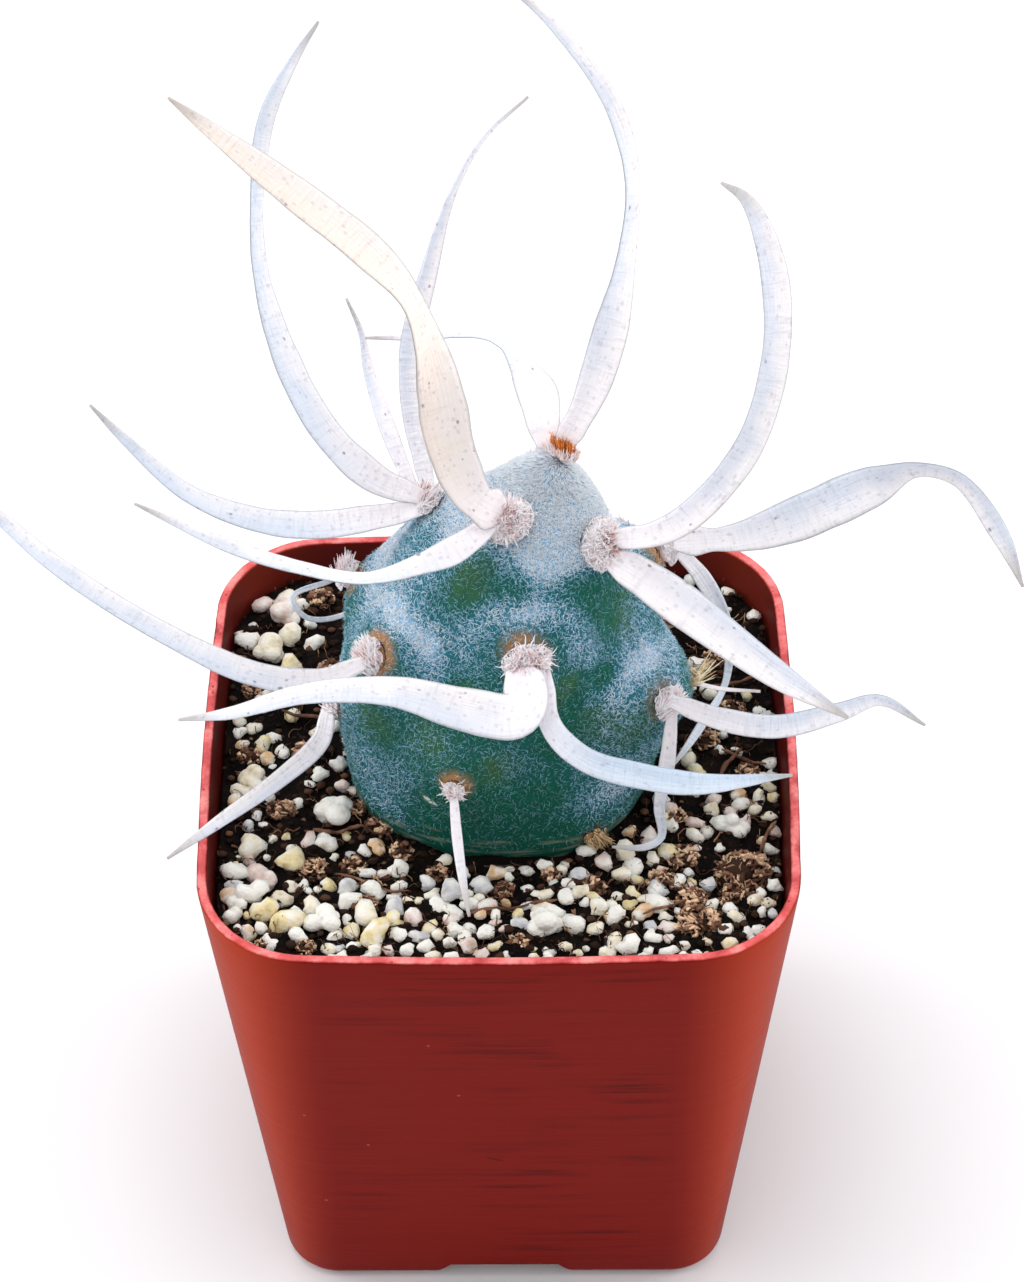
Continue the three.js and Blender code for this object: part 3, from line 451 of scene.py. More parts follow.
def noise_at(points, size, seed=0, octaves=2):
    """Smooth noise from about -1 to 1 at points, with features of the given size."""
    shift = Vector((seed * 17.3, seed * 5.1, seed * 11.7))
    return np.array([noise.fractal(Vector(p) / size + shift, 1.0, 2.0, octaves) for p in points.tolist()])


def loft(rings):
    """Points and faces of a closed body through rings that all have the same number of points."""
    rings = np.asarray(rings, float)
    levels, count, _ = rings.shape
    points = np.concatenate([rings.reshape(-1, 3), rings[0].mean(0)[None], rings[-1].mean(0)[None]])
    a = (np.arange(levels - 1)[:, None] * count + np.arange(count)).ravel()
    b = (np.arange(levels - 1)[:, None] * count + (np.arange(count) + 1) % count).ravel()
    faces = np.stack([a, b, b + count, a + count], 1).tolist()
    last, bottom = (levels - 1) * count, levels * count
    for i in range(count):
        following = (i + 1) % count
        faces.append([bottom, following, i])
        faces.append([bottom + 1, last + i, last + following])
    return points, faces


def tubes(paths, radii, sides=3):
    """Points and faces of thin closed tubes along paths (count, stations, 3)."""
    count, stations, _ = paths.shape
    tangents = unit(np.gradient(paths, axis=1))
    reference = np.eye(3)[np.abs(tangents.mean(1)).argmin(1)][:, None, :]
    first = unit(np.cross(tangents, reference))
    second = np.cross(tangents, first)
    angles = (np.arange(sides) * TURN / sides)[:, None]
    around = first[:, :, None] * np.cos(angles) + second[:, :, None] * np.sin(angles)
    points = paths[:, :, None] + around * radii[:, :, None, None]
    base = np.arange(count)[:, None, None] * stations * sides
    level = np.arange(stations - 1)[None, :, None] * sides
    a = (base + level + np.arange(sides)).ravel()
    b = (base + level + (np.arange(sides) + 1) % sides).ravel()
    starts = base[:, 0] + np.arange(sides)[::-1]
    ends = base[:, 0] + (stations - 1) * sides + np.arange(sides)
    faces = np.stack([a, b, b + sides, a + sides], 1).tolist() + starts.tolist() + ends.tolist()
    return points.reshape(-1, 3), faces


def random_turns(random, count):
    """Random rotation matrices."""
    w, x, y, z = unit(random.normal(size=(count, 4))).T
    return np.stack([
        1 - 2 * (y * y + z * z), 2 * (x * y - z * w), 2 * (x * z + y * w),
        2 * (x * y + z * w), 1 - 2 * (x * x + z * z), 2 * (y * z - x * w),
        2 * (x * z - y * w), 2 * (y * z + x * w), 1 - 2 * (x * x + y * y)], 1).reshape(count, 3, 3)


def ball(subdivisions):
    """Points and triangles of a round ball of radius 1."""
    shape = bmesh.new()
    bmesh.ops.create_icosphere(shape, subdivisions=subdivisions, radius=1)
    points = np.array([v.co for v in shape.verts])
    faces = np.array([[v.index for v in face.verts] for face in shape.faces])
    shape.free()
    return points, faces


def lumps(random, centres, sizes, squash, subdivisions=2, lobes=6):
    """Points and faces of closed lumps, each the outline of a few balls run together."""
    rays, triangles = ball(subdivisions)
    count = len(centres)
    middles = unit(random.normal(size=(count, lobes, 3))) * random.uniform(0.3, 0.62, (count, lobes, 1))
    middles[:, 0] = 0
    radii = random.uniform(0.28, 0.5, (count, lobes))
    radii[:, 0] = 0.5
    along = np.einsum("vk,nmk->nmv", rays, middles)
    inside = radii[..., None] ** 2 - (middles ** 2).sum(-1)[..., None] + along ** 2
    surface = np.where(inside > 0, along + np.sqrt(np.maximum(inside, 0)), 0).max(1)
    surface /= surface.mean(1, keepdims=True)
    points = rays[None] * surface[..., None] * np.asarray(sizes)[:, None, None] / 2
    points = np.einsum("nij,nvj->nvi", random_turns(random, count), points)
    points = points * np.array(squash) + np.asarray(centres)[:, None]
    faces = (triangles[None] + np.arange(count)[:, None, None] * len(rays)).reshape(-1, 3)
    return points.reshape(-1, 3), faces.tolist(), len(rays)


def joined(parts):
    """Several (points, faces) as one."""
    points, faces, start = [], [], 0
    for part_points, part_faces in parts:
        points.append(part_points)
        faces += [[i + start for i in face] for face in part_faces]
        start += len(part_points)
    return np.concatenate(points), faces


def new_mesh(name, points, faces):
    """A mesh in metres, from points in millimetres."""
    mesh = bpy.data.meshes.new(name)
    mesh.from_pydata((np.asarray(points) * MM).tolist(), [], faces)
    return mesh


def by_shade(points, shade):
    """The field of shades, and a layout that keeps points of one shade together."""
    return {"shade": shade}, np.stack([shade, points[:, 0] % 1], 1)


def add_piece(name, shape, material, slot, nodes=(), fields=None, layout=None):
    """Makes a mesh, or points and faces, a piece that stands for the CAD nodes. Fields are numbers for each point,
    read by the material, and layout is each point's place in the shade map."""
    mesh = shape if isinstance(shape, bpy.types.Mesh) else new_mesh(name, *shape)
    for polygon in mesh.polygons:
        polygon.use_smooth = True
    for field, values in (fields or {}).items():
        values = np.asarray(values, np.float32)
        kind, key = ("FLOAT", "value") if values.ndim == 1 else ("FLOAT_VECTOR", "vector")
        mesh.attributes.new(field, kind, "POINT").data.foreach_set(key, values.ravel())
    if layout is not None:
        corners = np.zeros(len(mesh.loops), np.int32)
        mesh.loops.foreach_get("vertex_index", corners)
        layer = mesh.uv_layers.new(name=SHADE_MAP)
        layer.uv.foreach_set("vector", np.asarray(layout, np.float32)[corners].ravel())
    mesh.materials.append(material)
    piece = bpy.data.objects.new(name, mesh)
    bpy.context.scene.collection.objects.link(piece)
    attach(piece, "root")
    if nodes:
        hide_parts(*nodes)


# Materials


def rgba(colour, factor=1.0):
    """A colour with alpha, from an sRGB hex colour or linear values, made lighter or darker by factor."""
    channels = linear(colour) if isinstance(colour, str) else colour
    return (*(min(1, c * factor) for c in channels), 1)


def per_mm(size):
    """A texture's scale in metres for features of this size in millimetres."""
    return 1000 / size


def add_node(tree, kind, inputs=None, stops=None, **settings):
    """Adds a node. Settings are its own choices. Inputs are values, sockets or nodes, by the name or number of the
    socket that they go to, and a node gives the first of its outputs that is in use. Stops are those of a ramp:
    position, colour and factor."""
    node = tree.nodes.new("ShaderNode" + kind)
    for name, value in settings.items():
        setattr(node, name, value)
    for socket, value in (inputs or {}).items():
        if isinstance(value, bpy.types.Node):
            value = next(output for output in value.outputs if output.enabled)
        if isinstance(value, bpy.types.NodeSocket):
            tree.links.new(value, node.inputs[socket])
        else:
            node.inputs[socket].default_value = value
    for i, (position, *colour) in enumerate(stops or []):
        if i >= len(node.color_ramp.elements):
            node.color_ramp.elements.new(position)
        node.color_ramp.elements[i].position = position
        node.color_ramp.elements[i].color = rgba(*colour)
    return node


def start_material(name):
    """A new material and its empty tree."""
    material = bpy.data.materials.new(name)
    material.use_nodes = True
    material.node_tree.nodes.clear()
    return material, material.node_tree


def add_surface(tree, **inputs):
    """Ends a material with one Principled surface. Inputs are for that surface's sockets."""
    inputs = {socket.replace("_", " "): value for socket, value in inputs.items()}
    surface = add_node(tree, "BsdfPrincipled", inputs)
    add_node(tree, "OutputMaterial", {"Surface": surface})


def pot_material(pot):
    """Polypropylene, injection moulded: satin, with faint drag marks along the walls, dust, dirt and a scratch, and a
    rim painted paler with painted highlights, as painted light.
    """
    material, tree = start_material("polypropylene_moulded")
    place = add_node(tree, "TexCoord").outputs["Object"]
    axes = add_node(tree, "SeparateXYZ", {0: place}).outputs
    # Drag marks are about 18 mm long and 0.8 mm high, and climb slightly
    stretched = add_node(tree, "Mapping", {"Vector": place, "Rotation": (0, 0.045, 0), "Scale": (1, 1, 22)})
    streak = add_node(tree, "TexNoise", {
        "Vector": stretched, "Scale": per_mm(18), "Detail": 3, "Roughness": 0.45, "Distortion": 0.5})
    # Patches 14 mm across hold the drag marks, and the mould's texture is 0.5 mm across
    cloud, grain = (
        add_node(tree, "TexNoise", {"Vector": place, "Scale": per_mm(size), "Detail": 2}) for size in (14, 0.5))
    # Patches about 4 mm across wave the rim band's lower edge and place painted highlights on the rim
    rim_patch_noise = add_node(tree, "TexNoise", {"Vector": place, "Scale": per_mm(4), "Detail": 5, "Roughness": 0.7})
    # Dust specks are about 0.3 mm across, one in every 7 mm, and specks of dirt from the mix about 0.25 mm across
    dots, dirt = (add_node(tree, "TexVoronoi", {"Vector": place, "Scale": per_mm(size)}) for size in (7, 1.3))
    # The inside is painted darker, as painted shade, since little light gets through to it
    normal = add_node(tree, "NewGeometry").outputs["Normal"]
    outward = add_node(tree, "VectorMath", {0: normal, 1: place}, operation="DOT_PRODUCT")
    # A short scratch across the front wall, about 2 mm long
    scratch_place = add_node(tree, "Mapping", {
        "Vector": place, "Location": (-0.0008, 0, 0.0255), "Rotation": (0, math.radians(22), 0),
        "Scale": (0.0012, 1, 0.00015)}, vector_type="TEXTURE")
    scratch_reach = add_node(tree, "VectorMath", {0: scratch_place}, operation="LENGTH")
    in_front = add_node(tree, "Math", {0: axes["Y"], 1: -0.02}, operation="LESS_THAN")
    wavy = add_node(tree, "Math", {0: rim_patch_noise, 1: 0.0003, 2: axes["Z"]}, operation="MULTIPLY_ADD")
    streaks, patchy, dust, edge, painted_rim_highlight, dirty, inside, scratch = (
        add_node(tree, "MapRange", {"Value": value, "From Min": low, "From Max": high, "To Max": most})
        for value, low, high, most in (
            (streak, 0.52, 0.74, 0.75), (cloud, 0.4, 0.6, 1), (dots, 0.03, 0.018, 0.35),
            (wavy, pot.height, pot.height + 0.00015, 1), (rim_patch_noise, 0.45, 0.65, 0.7), (dirt, 0.13, 0.06, 0.75),
            (outward, -0.005, -0.012, 0.7), (scratch_reach, 1, 0.7, 0.7)))
    # Only the flat middle of a wall was dragged along the mould. The corners are painted warmer, as painted light
    sides = [add_node(tree, "Math", {0: axes[axis]}, operation="ABSOLUTE") for axis in "XY"]
    corner = add_node(tree, "Math", {0: sides[0], 1: sides[1]}, operation="MINIMUM")
    middle, painted_corner_light = (
        add_node(tree, "MapRange", {"Value": corner, "From Min": low, "From Max": high, "To Max": most},
                 interpolation_type="SMOOTHSTEP")
        for low, high, most in ((0.021, 0.013, 1), (0.018, 0.028, 0.55)))
    clouded = add_node(tree, "Math", {0: patchy, 1: streaks}, operation="MULTIPLY")
    dragged, scratched = (
        add_node(tree, "Math", {0: mark, 1: where}, operation="MULTIPLY")
        for mark, where in ((clouded, middle), (scratch, in_front)))
    # The rim is painted paler, as painted light on its top edge, with painted highlight patches and dirt specks
    rim, colour = rgba(pot.lit_rim_and_dust_colour), rgba(pot.wall_colour)
    for share, shade in ((painted_rim_highlight, rgba("ffa8a2")), (dirty, rgba(pot.streak_colour))):
        rim = add_node(tree, "Mix", {0: share, 6: rim, 7: shade}, data_type="RGBA")
    # On the wall: drag marks, painted light at the corners, dust specks, the rim, painted shade inside, a scratch
    for share, shade in (
        (dragged, rgba(pot.streak_colour)), (painted_corner_light, rgba(pot.corner_light_colour)), (dust, rgba(pot.lit_rim_and_dust_colour)),
        (edge, rim), (inside, rgba("4a1e1c")), (scratched, rgba(pot.streak_colour, 0.3)),
    ):
        colour = add_node(tree, "Mix", {0: share, 6: colour, 7: shade}, data_type="RGBA")
    satin = add_node(tree, "MapRange", {"Value": streak, "To Min": 0.42, "To Max": 0.52})
    relief = add_node(tree, "Math", {0: streak, 1: 2, 2: grain}, operation="MULTIPLY_ADD")
    bump = add_node(tree, "Bump", {"Height": relief, "Distance": 0.00004, "Strength": 0.3})
    add_surface(tree, Base_Color=colour, Roughness=satin, Normal=bump, IOR=1.49, Specular_IOR_Level=0.06)
    return material


def mix_material(mix):
    """Peat, damp and loose: nearly black, with browner dry crumbs."""
    material, tree = start_material("peat_damp")
    place = add_node(tree, "TexCoord").outputs["Object"]
    # Clods 3 mm across and crumbs 0.6 mm across
    clods = add_node(tree, "TexNoise", {"Vector": place, "Scale": per_mm(3), "Detail": 6, "Roughness": 0.7})
    crumbs = add_node(tree, "TexVoronoi", {"Vector": place, "Scale": per_mm(0.6)})
    dry = add_node(tree, "MapRange", {"Value": clods, "From Min": 0.5, "From Max": 0.75})
    colour = add_node(tree, "Mix", {0: dry, 6: rgba(mix.peat_colour), 7: rgba(mix.crumb_colour)}, data_type="RGBA")
    bump = add_node(tree, "Bump", {"Height": crumbs, "Distance": 0.0003, "Strength": 0.8})
    add_surface(tree, Base_Color=colour, Normal=bump, Roughness=0.92, IOR=1.4, Specular_IOR_Level=0.15)
    return material


def perlite_material(mix):
    """Perlite, heat-expanded volcanic glass: chalky and pitted, white, with grains that the mix has stained."""
    material, tree = start_material("perlite_expanded")
    shade = add_node(tree, "Attribute", attribute_name="shade").outputs["Fac"]
    place = add_node(tree, "TexCoord").outputs["Object"]
    stains = [mix.perlite_colour, "f1e6cf", "ead8a6", "dfb98f", "e6cfc8", "c9cacf"]
    tones = add_node(tree, "ValToRGB", {0: shade}, [(i / len(stains), stain) for i, stain in enumerate(stains)])
    tones.color_ramp.interpolation = "CONSTANT"
    # Stains 1.5 mm across, which leave part of each grain white, and pits 0.35 mm across
    stain = add_node(tree, "TexNoise", {"Vector": place, "Scale": per_mm(1.5), "Detail": 4})
    pits = add_node(tree, "TexVoronoi", {"Vector": place, "Scale": per_mm(0.35)})
    colour = rgba(mix.perlite_colour)
    for low, high, least, most, tone in ((0.36, 0.56, 0.1, 1, tones), (0.56, 0.74, 0, 0.55, rgba("a08a60"))):
        share = add_node(tree, "MapRange", {
            "Value": stain, "From Min": low, "From Max": high, "To Min": least, "To Max": most})
        colour = add_node(tree, "Mix", {0: share, 6: colour, 7: tone}, data_type="RGBA")
    bump = add_node(tree, "Bump", {"Height": pits, "Distance": 0.00012, "Strength": 0.6})
    add_surface(tree, Base_Color=colour, Normal=bump, Roughness=0.85, IOR=1.5, Specular_IOR_Level=0.3,
                Subsurface_Weight=0.15, Subsurface_Radius=(0.0006, 0.0005, 0.0004))
    return material


def husk_material(mix, name="coconut_husk_shredded", dark=0.35, pale="f2cdaa"):
    """Coconut husk, shredded: dull brown fibre, from nearly black where damp to straw where dry."""
    material, tree = start_material(name)
    shade = add_node(tree, "Attribute", attribute_name="shade").outputs["Fac"]
    husk = mix.husk_colour
    tones = add_node(tree, "ValToRGB", {0: shade}, [
        (0, husk, dark * 0.2), (0.3, husk, dark), (0.6, husk, dark * 2.8), (0.9, pale)])
    add_surface(tree, Base_Color=tones, Roughness=0.9, IOR=1.45, Specular_IOR_Level=0.15)
    return material


def skin_material(stem):
    """Cactus skin, living and felted: dull, blue-grey where the felt is dense, deep green in the hollows. Part of
    this is painted light and shade: paler on top and on the arcs, darker in the hollows and low down.
    """
    material, tree = start_material("cactus_skin")
    place = add_node(tree, "TexCoord").outputs["Object"]
    felt_and_shading, patch, halo, foot = (
        add_node(tree, "Attribute", attribute_name=field).outputs["Fac"]
        for field in ("felt_and_shading", "patch", "halo", "foot"))
    # Mottling 2.5 mm across
    mottle = add_node(tree, "TexNoise", {"Vector": place, "Scale": per_mm(2.5), "Detail": 5, "Roughness": 0.65})
    # Corky lines low on the stem, 4 mm long and 0.6 mm high
    stretched = add_node(tree, "Mapping", {"Vector": place, "Rotation": (0.2, 0.35, 0), "Scale": (1, 1, 7)})
    cork = add_node(tree, "TexNoise", {"Vector": stretched, "Scale": per_mm(4), "Detail": 6})
    # One pale scar low on the front, about 2 mm long
    scar_place = add_node(tree, "Mapping", {
        "Vector": place, "Location": (-0.0073, -0.0123, 0.0667), "Rotation": (0.2, 0.35, 0.3),
        "Scale": (0.0011, 0.0011, 0.00045)}, vector_type="TEXTURE")
    scar_reach = add_node(tree, "VectorMath", {0: scar_place}, operation="LENGTH")
    moved, patched, softened, scar = (
        add_node(tree, "Math", {0: mottle, 1: factor, 2: rest}, operation="MULTIPLY_ADD")
        for factor, rest in ((0.36, felt_and_shading), (patch, 0), (0.4, 0.35), (0.9, scar_reach)))
    corky, tinged = (
        add_node(tree, "Math", {0: mark, 1: where}, operation="MULTIPLY")
        for mark, where in ((cork, foot), (softened, halo)))
    felted_and_shaded = add_node(tree, "Math", {0: moved, 1: 0.18}, operation="SUBTRACT")
    # The ramp runs from the hollows and low down to the crests: felt, and partly painted light and shade
    colour = add_node(tree, "ValToRGB", {0: felted_and_shaded}, [
        (0, stem.deep_colour), (0.3, stem.skin_colour), (0.7, stem.felt_and_light_colour), (1, stem.crest_colour)])
    for value, low, high, most, shade in (
        (patched, 0.12, 0.5, 0.8, rgba(stem.patch_colour)), (corky, 0.48, 0.62, 0.65, rgba("8f9680")),
        (tinged, 0.04, 0.5, 0.85, rgba(stem.halo_colour)), (scar, 1.5, 1.25, 0.9, rgba("e6ecdf")),
    ):
        share = add_node(tree, "MapRange", {"Value": value, "From Min": low, "From Max": high, "To Max": most})
        colour = add_node(tree, "Mix", {0: share, 6: colour, 7: shade}, data_type="RGBA")
    # Felt bumps 0.35 mm across
    felt = add_node(tree, "TexNoise", {"Vector": place, "Scale": per_mm(0.35), "Detail": 3})
    bump = add_node(tree, "Bump", {"Height": felt, "Distance": 0.0001, "Strength": 0.7})
    add_surface(tree, Base_Color=colour, Normal=bump, Roughness=0.72, IOR=1.42, Specular_IOR_Level=0.2,
                Subsurface_Weight=0.08, Subsurface_Radius=(0.0006, 0.0012, 0.0009))
    return material


def strand_material(name, stops, roughness=0.7, sheen=0.1, translucence=0.1):
    """Plant hair: dull and soft, a little see-through, from dark roots of the shade range to pale ones."""
    material, tree = start_material(name)
    shade = add_node(tree, "Attribute", attribute_name="shade").outputs["Fac"]
    tones = add_node(tree, "ValToRGB", {0: shade}, stops)
    add_surface(tree, Base_Color=tones, Roughness=roughness, IOR=1.45, Specular_IOR_Level=0.2, Sheen_Weight=sheen,
                Subsurface_Weight=translucence, Subsurface_Radius=(0.001, 0.0009, 0.0009))
    return material


def spine_material(spines, name, pale, shaded_half):
    """Paper spine, dried and papery: dull and a little see-through, with cross wrinkles, fine lengthwise fibre,
    greyer edges and scattered dark specks, a painted lit half and a painted shaded half, and painted shade on
    spines that lie in shade. The field blade is millimetres across, along and a number for each."""
    material, tree = start_material(name)
    across, tip, painted_shade = (
        add_node(tree, "Attribute", attribute_name=field).outputs["Fac"] for field in ("across", "tip", "painted_shade"))
    blade = add_node(tree, "Attribute", attribute_name="blade").outputs["Vector"]
    # Fibre 0.25 mm wide and 6 mm long, cross wrinkles 0.6 mm apart that run across most of the blade, and the places
    # of many faint specks and few dark ones, about 0.25 mm wide and 0.4 mm long
    lengthwise, crosswise, *dotted = (
        add_node(tree, "Mapping", {"Vector": blade, "Scale": scale})
        for scale in ((4, 0.16, 1), (0.35, 1.7, 1), (1.5, 0.95, 1), (0.8, 0.5, 1)))
    # The border between the painted shaded and lit halves wanders, and a noise thins out the specks
    fibre, wrinkle, wander, thin = (
        add_node(tree, "TexNoise", {"Vector": vector, "Scale": scale, "Detail": detail, "Roughness": roughness})
        for vector, scale, detail, roughness in (
            (lengthwise, 1, 3, 0.5), (crosswise, 1, 4, 0.6), (blade, 0.22, 2, 0.5), (blade, 0.6, 2, 0.5)))
    dots = [add_node(tree, "TexVoronoi", {"Vector": vector, "Scale": 1}) for vector in dotted]
    side, faint, dark, relief = (
        add_node(tree, "Math", {0: value, 1: factor, 2: rest}, operation="MULTIPLY_ADD")
        for value, factor, rest in (
            (wander, 2.2, across), (thin, -0.55, dots[0]), (thin, -0.55, dots[1]), (fibre, 0.5, wrinkle)))
    off_middle = add_node(tree, "Math", {0: across}, operation="ABSOLUTE")
    along = add_node(tree, "SeparateXYZ", {0: blade}).outputs["Y"]
    # The last 10 mm before the root are pinkish
    half, root, creased, lined, faintly, darkly, edge = (
        add_node(tree, "MapRange", {"Value": value, "From Min": low, "From Max": high})
        for value, low, high in (
            (side, 0.7, 1.7), (along, 13, 3), (wrinkle, 0.55, 0.75), (fibre, 0.58, 0.8), (faint, -0.02, -0.11),
            (dark, -0.2, -0.29), (off_middle, 0.88, 1)))
    # One half of the blade is painted lit, the other painted shaded
    colour = add_node(tree, "Mix", {0: half, 6: rgba(shaded_half), 7: rgba(pale)}, data_type="RGBA")
    # Spines in shade get painted shade; the other layers are the blade's own marks
    for share, strength, shade in (
        (painted_shade, 0.8, rgba(spines.shadow_colour)), (root, 0.8, rgba("fbf3f6")), (creased, 0.42, rgba(shaded_half, 0.72)),
        (lined, 0.25, rgba(shaded_half, 0.75)), (faintly, 0.2, rgba(spines.speck_colour, 1.6)),
        (darkly, 0.7, rgba(spines.speck_colour)), (edge, 0.6, rgba(spines.edge_colour)),
        (tip, 0.6, rgba(spines.tip_colour)),
    ):
        weight = add_node(tree, "Math", {0: share, 1: strength}, operation="MULTIPLY")
        colour = add_node(tree, "Mix", {0: weight, 6: colour, 7: shade}, data_type="RGBA")
    bump = add_node(tree, "Bump", {"Height": relief, "Distance": 0.0003, "Strength": 0.8})
    add_surface(tree, Base_Color=colour, Normal=bump, Roughness=0.65, IOR=1.46, Specular_IOR_Level=0.3,
                Subsurface_Weight=0.25, Subsurface_Radius=(0.0009, 0.0009, 0.001))
    return material


# Pot


def pot_ring(pot, z, inset):
    """One level of the pot: a square with round corners and slightly bowed sides, moved in by inset."""
    share = z / (pot.height / MM)
    half_width = (pot.foot_width + (pot.top_width - pot.foot_width) * share) / MM / 2
    corner_radius = POT_FOOT_CORNER + (POT_TOP_CORNER - POT_FOOT_CORNER) * share
    straight, corner = half_width - corner_radius, corner_radius - inset
    side = [(straight + corner * math.cos(angle), straight + corner * math.sin(angle))
            for angle in np.linspace(0, TURN / 4, CORNER_STEPS + 1)]
    for along in np.arange(1, SIDE_STEPS) / SIDE_STEPS:
        bow = POT_WALL_BOW * share * math.sin(along * math.pi)
        side.append((straight * (1 - 2 * along), straight + corner + bow))
    ring = []
    for quarter in range(4):
        cosine, sine = round(math.cos(quarter * TURN / 4)), round(math.sin(quarter * TURN / 4))
        ring += [(x * cosine - y * sine, x * sine + y * cosine, z) for x, y in side]
    return np.array(ring)


def cross(grow):
    """Two bars for the raised cross under the pot, as points and faces."""
    foot, top, height = CROSS_FOOT_WIDTH / 2 + grow, CROSS_TOP_WIDTH / 2 + grow, CROSS_HEIGHT + grow
    outline = [(-foot, -1), (foot, -1), (foot, 0), (top, height), (-top, height), (-foot, 0)]
    bars = []
    for turned in (False, True):
        rings = [[(end, x, z) if turned else (x, -end, z) for x, z in outline] for end in (-CROSS_REACH, CROSS_REACH)]
        bars.append(loft(rings))
    return bars


def cut(body, tools):
    """A mesh with each tool taken from it, in turn."""
    worker = bpy.data.objects.new("worker", body)
    bpy.context.scene.collection.objects.link(worker)
    helpers = []
    for points, faces in tools:
        helper = bpy.data.objects.new("tool", new_mesh("tool", points, faces))
        bpy.context.scene.collection.objects.link(helper)
        modifier = worker.modifiers.new("cut", "BOOLEAN")
        modifier.object, modifier.operation, modifier.solver = helper, "DIFFERENCE", "EXACT"
        helpers.append(helper)
    bpy.context.view_layer.update()
    evaluated = worker.evaluated_get(bpy.context.evaluated_depsgraph_get())
    result = bpy.data.meshes.new_from_object(evaluated)
    for helper in [*helpers, worker]:
        bpy.data.objects.remove(helper)
    if not result.polygons:
        raise RuntimeError(f"Nothing is left of {body.name} after its cuts")
    return result


def sharpen(mesh, degrees):
    """Marks the edges that turn by more than this as sharp."""
    shape = bmesh.new()
    shape.from_mesh(mesh)
    for edge in shape.edges:
        edge.smooth = edge.calc_face_angle(0) < math.radians(degrees)
    shape.to_mesh(mesh)
    shape.free()


class CACTUS_OT_pot(bpy.types.Operator):
    """Builds the square pot, with its rounded rim, raised cross and drain holes"""

    bl_idname = "cactus.pot"
    bl_label = "Pot"
    bl_options = {"REGISTER"}

    def execute(self, context):
        pot = context.scene.cactus_pot
        height, wall = pot.height / MM, pot.wall / MM
        quarter = np.linspace(0, TURN / 4, 6)
        outside = [pot_ring(pot, POT_FOOT_ROUND * (1 - math.cos(a)), POT_FOOT_ROUND * (1 - math.sin(a)))
                   for a in quarter]
        outside += [pot_ring(pot, z, 0) for z in np.linspace(POT_FOOT_ROUND, height - POT_RIM_ROUND, 12)[1:-1]]
        outside += [pot_ring(pot, height - POT_RIM_ROUND * (1 - math.sin(a)), POT_RIM_ROUND * (1 - math.cos(a)))
                    for a in quarter]
        inside = [pot_ring(pot, POT_FLOOR + POT_FOOT_ROUND * (1 - math.cos(a)),
                           wall + POT_FOOT_ROUND * (1 - math.sin(a))) for a in quarter]
        inside += [pot_ring(pot, z, wall) for z in np.linspace(POT_FLOOR + POT_FOOT_ROUND, height - 0.3, 6)[1:]]
        inside += [pot_ring(pot, height - 0.1, wall - 0.06), pot_ring(pot, height, wall - 0.2),
                   pot_ring(pot, height + 1, wall - 0.2)]
        hollow = cut(new_mesh("hollow", *loft(inside)), cross(POT_FLOOR))
        drains = []
        for x, y in ((0, 0), (1, 0), (-1, 0), (0, 1), (0, -1)):
            around = np.linspace(0, TURN, 32, endpoint=False)
            rim = np.stack([x * DRAIN_SPACING + np.cos(around) * DRAIN_DIAMETER / 2,
                            y * DRAIN_SPACING + np.sin(around) * DRAIN_DIAMETER / 2, around * 0], 1)
            drains.append(loft([rim - (0, 0, DRAIN_DEPTH), rim + (0, 0, DRAIN_DEPTH)]))
        nick_x, nick_y = FOOT_NICK["width"] / 2, FOOT_NICK["depth"] / 2
        nick = np.array([(-nick_x, -nick_y, 0), (nick_x, -nick_y, 0), (nick_x, nick_y, 0), (-nick_x, nick_y, 0)])
        nick += (FOOT_NICK["x"], -pot.foot_width / MM / 2, 0)
        hollow_points = np.array([v.co for v in hollow.vertices]) / MM
        hollow_faces = [list(face.vertices) for face in hollow.polygons]
        tools = [*cross(0), (hollow_points, hollow_faces), *drains]
        tools.append(loft([nick - (0, 0, 1), nick + (0, 0, FOOT_NICK["height"])]))
        mesh = cut(new_mesh("pot_shell", *loft(outside)), tools)
        # The rim was trimmed by hand: it is uneven by a few hundredths of a millimetre
        for vertex in mesh.vertices:
            if vertex.co.z > pot.height - RIM_DEPTH * MM:
                wave = noise.fractal(Vector((vertex.co.x, vertex.co.y, 0)) / MM / RIM_WAVE, 1.0, 2.0, 3)
                vertex.co.z += MM * RIM_DIP * min(0, wave)
                vertex.co.x *= 1 + RIM_SWAY * wave
                vertex.co.y *= 1 + RIM_SWAY * wave
        sharpen(mesh, 35)
        add_piece("pot_shell", mesh, pot_material(pot), "pot", ["pot"])
        return {"FINISHED"}


# Stem


def swellings():
    """Directions, heights and spreads of everything that swells or hollows the stem."""
    rows = [row[:4] for row in AREOLES.values()] + STEM_SHAPING
    return [(directions_of(math.radians(a), math.radians(e)), swell, spread) for a, e, swell, spread in rows]


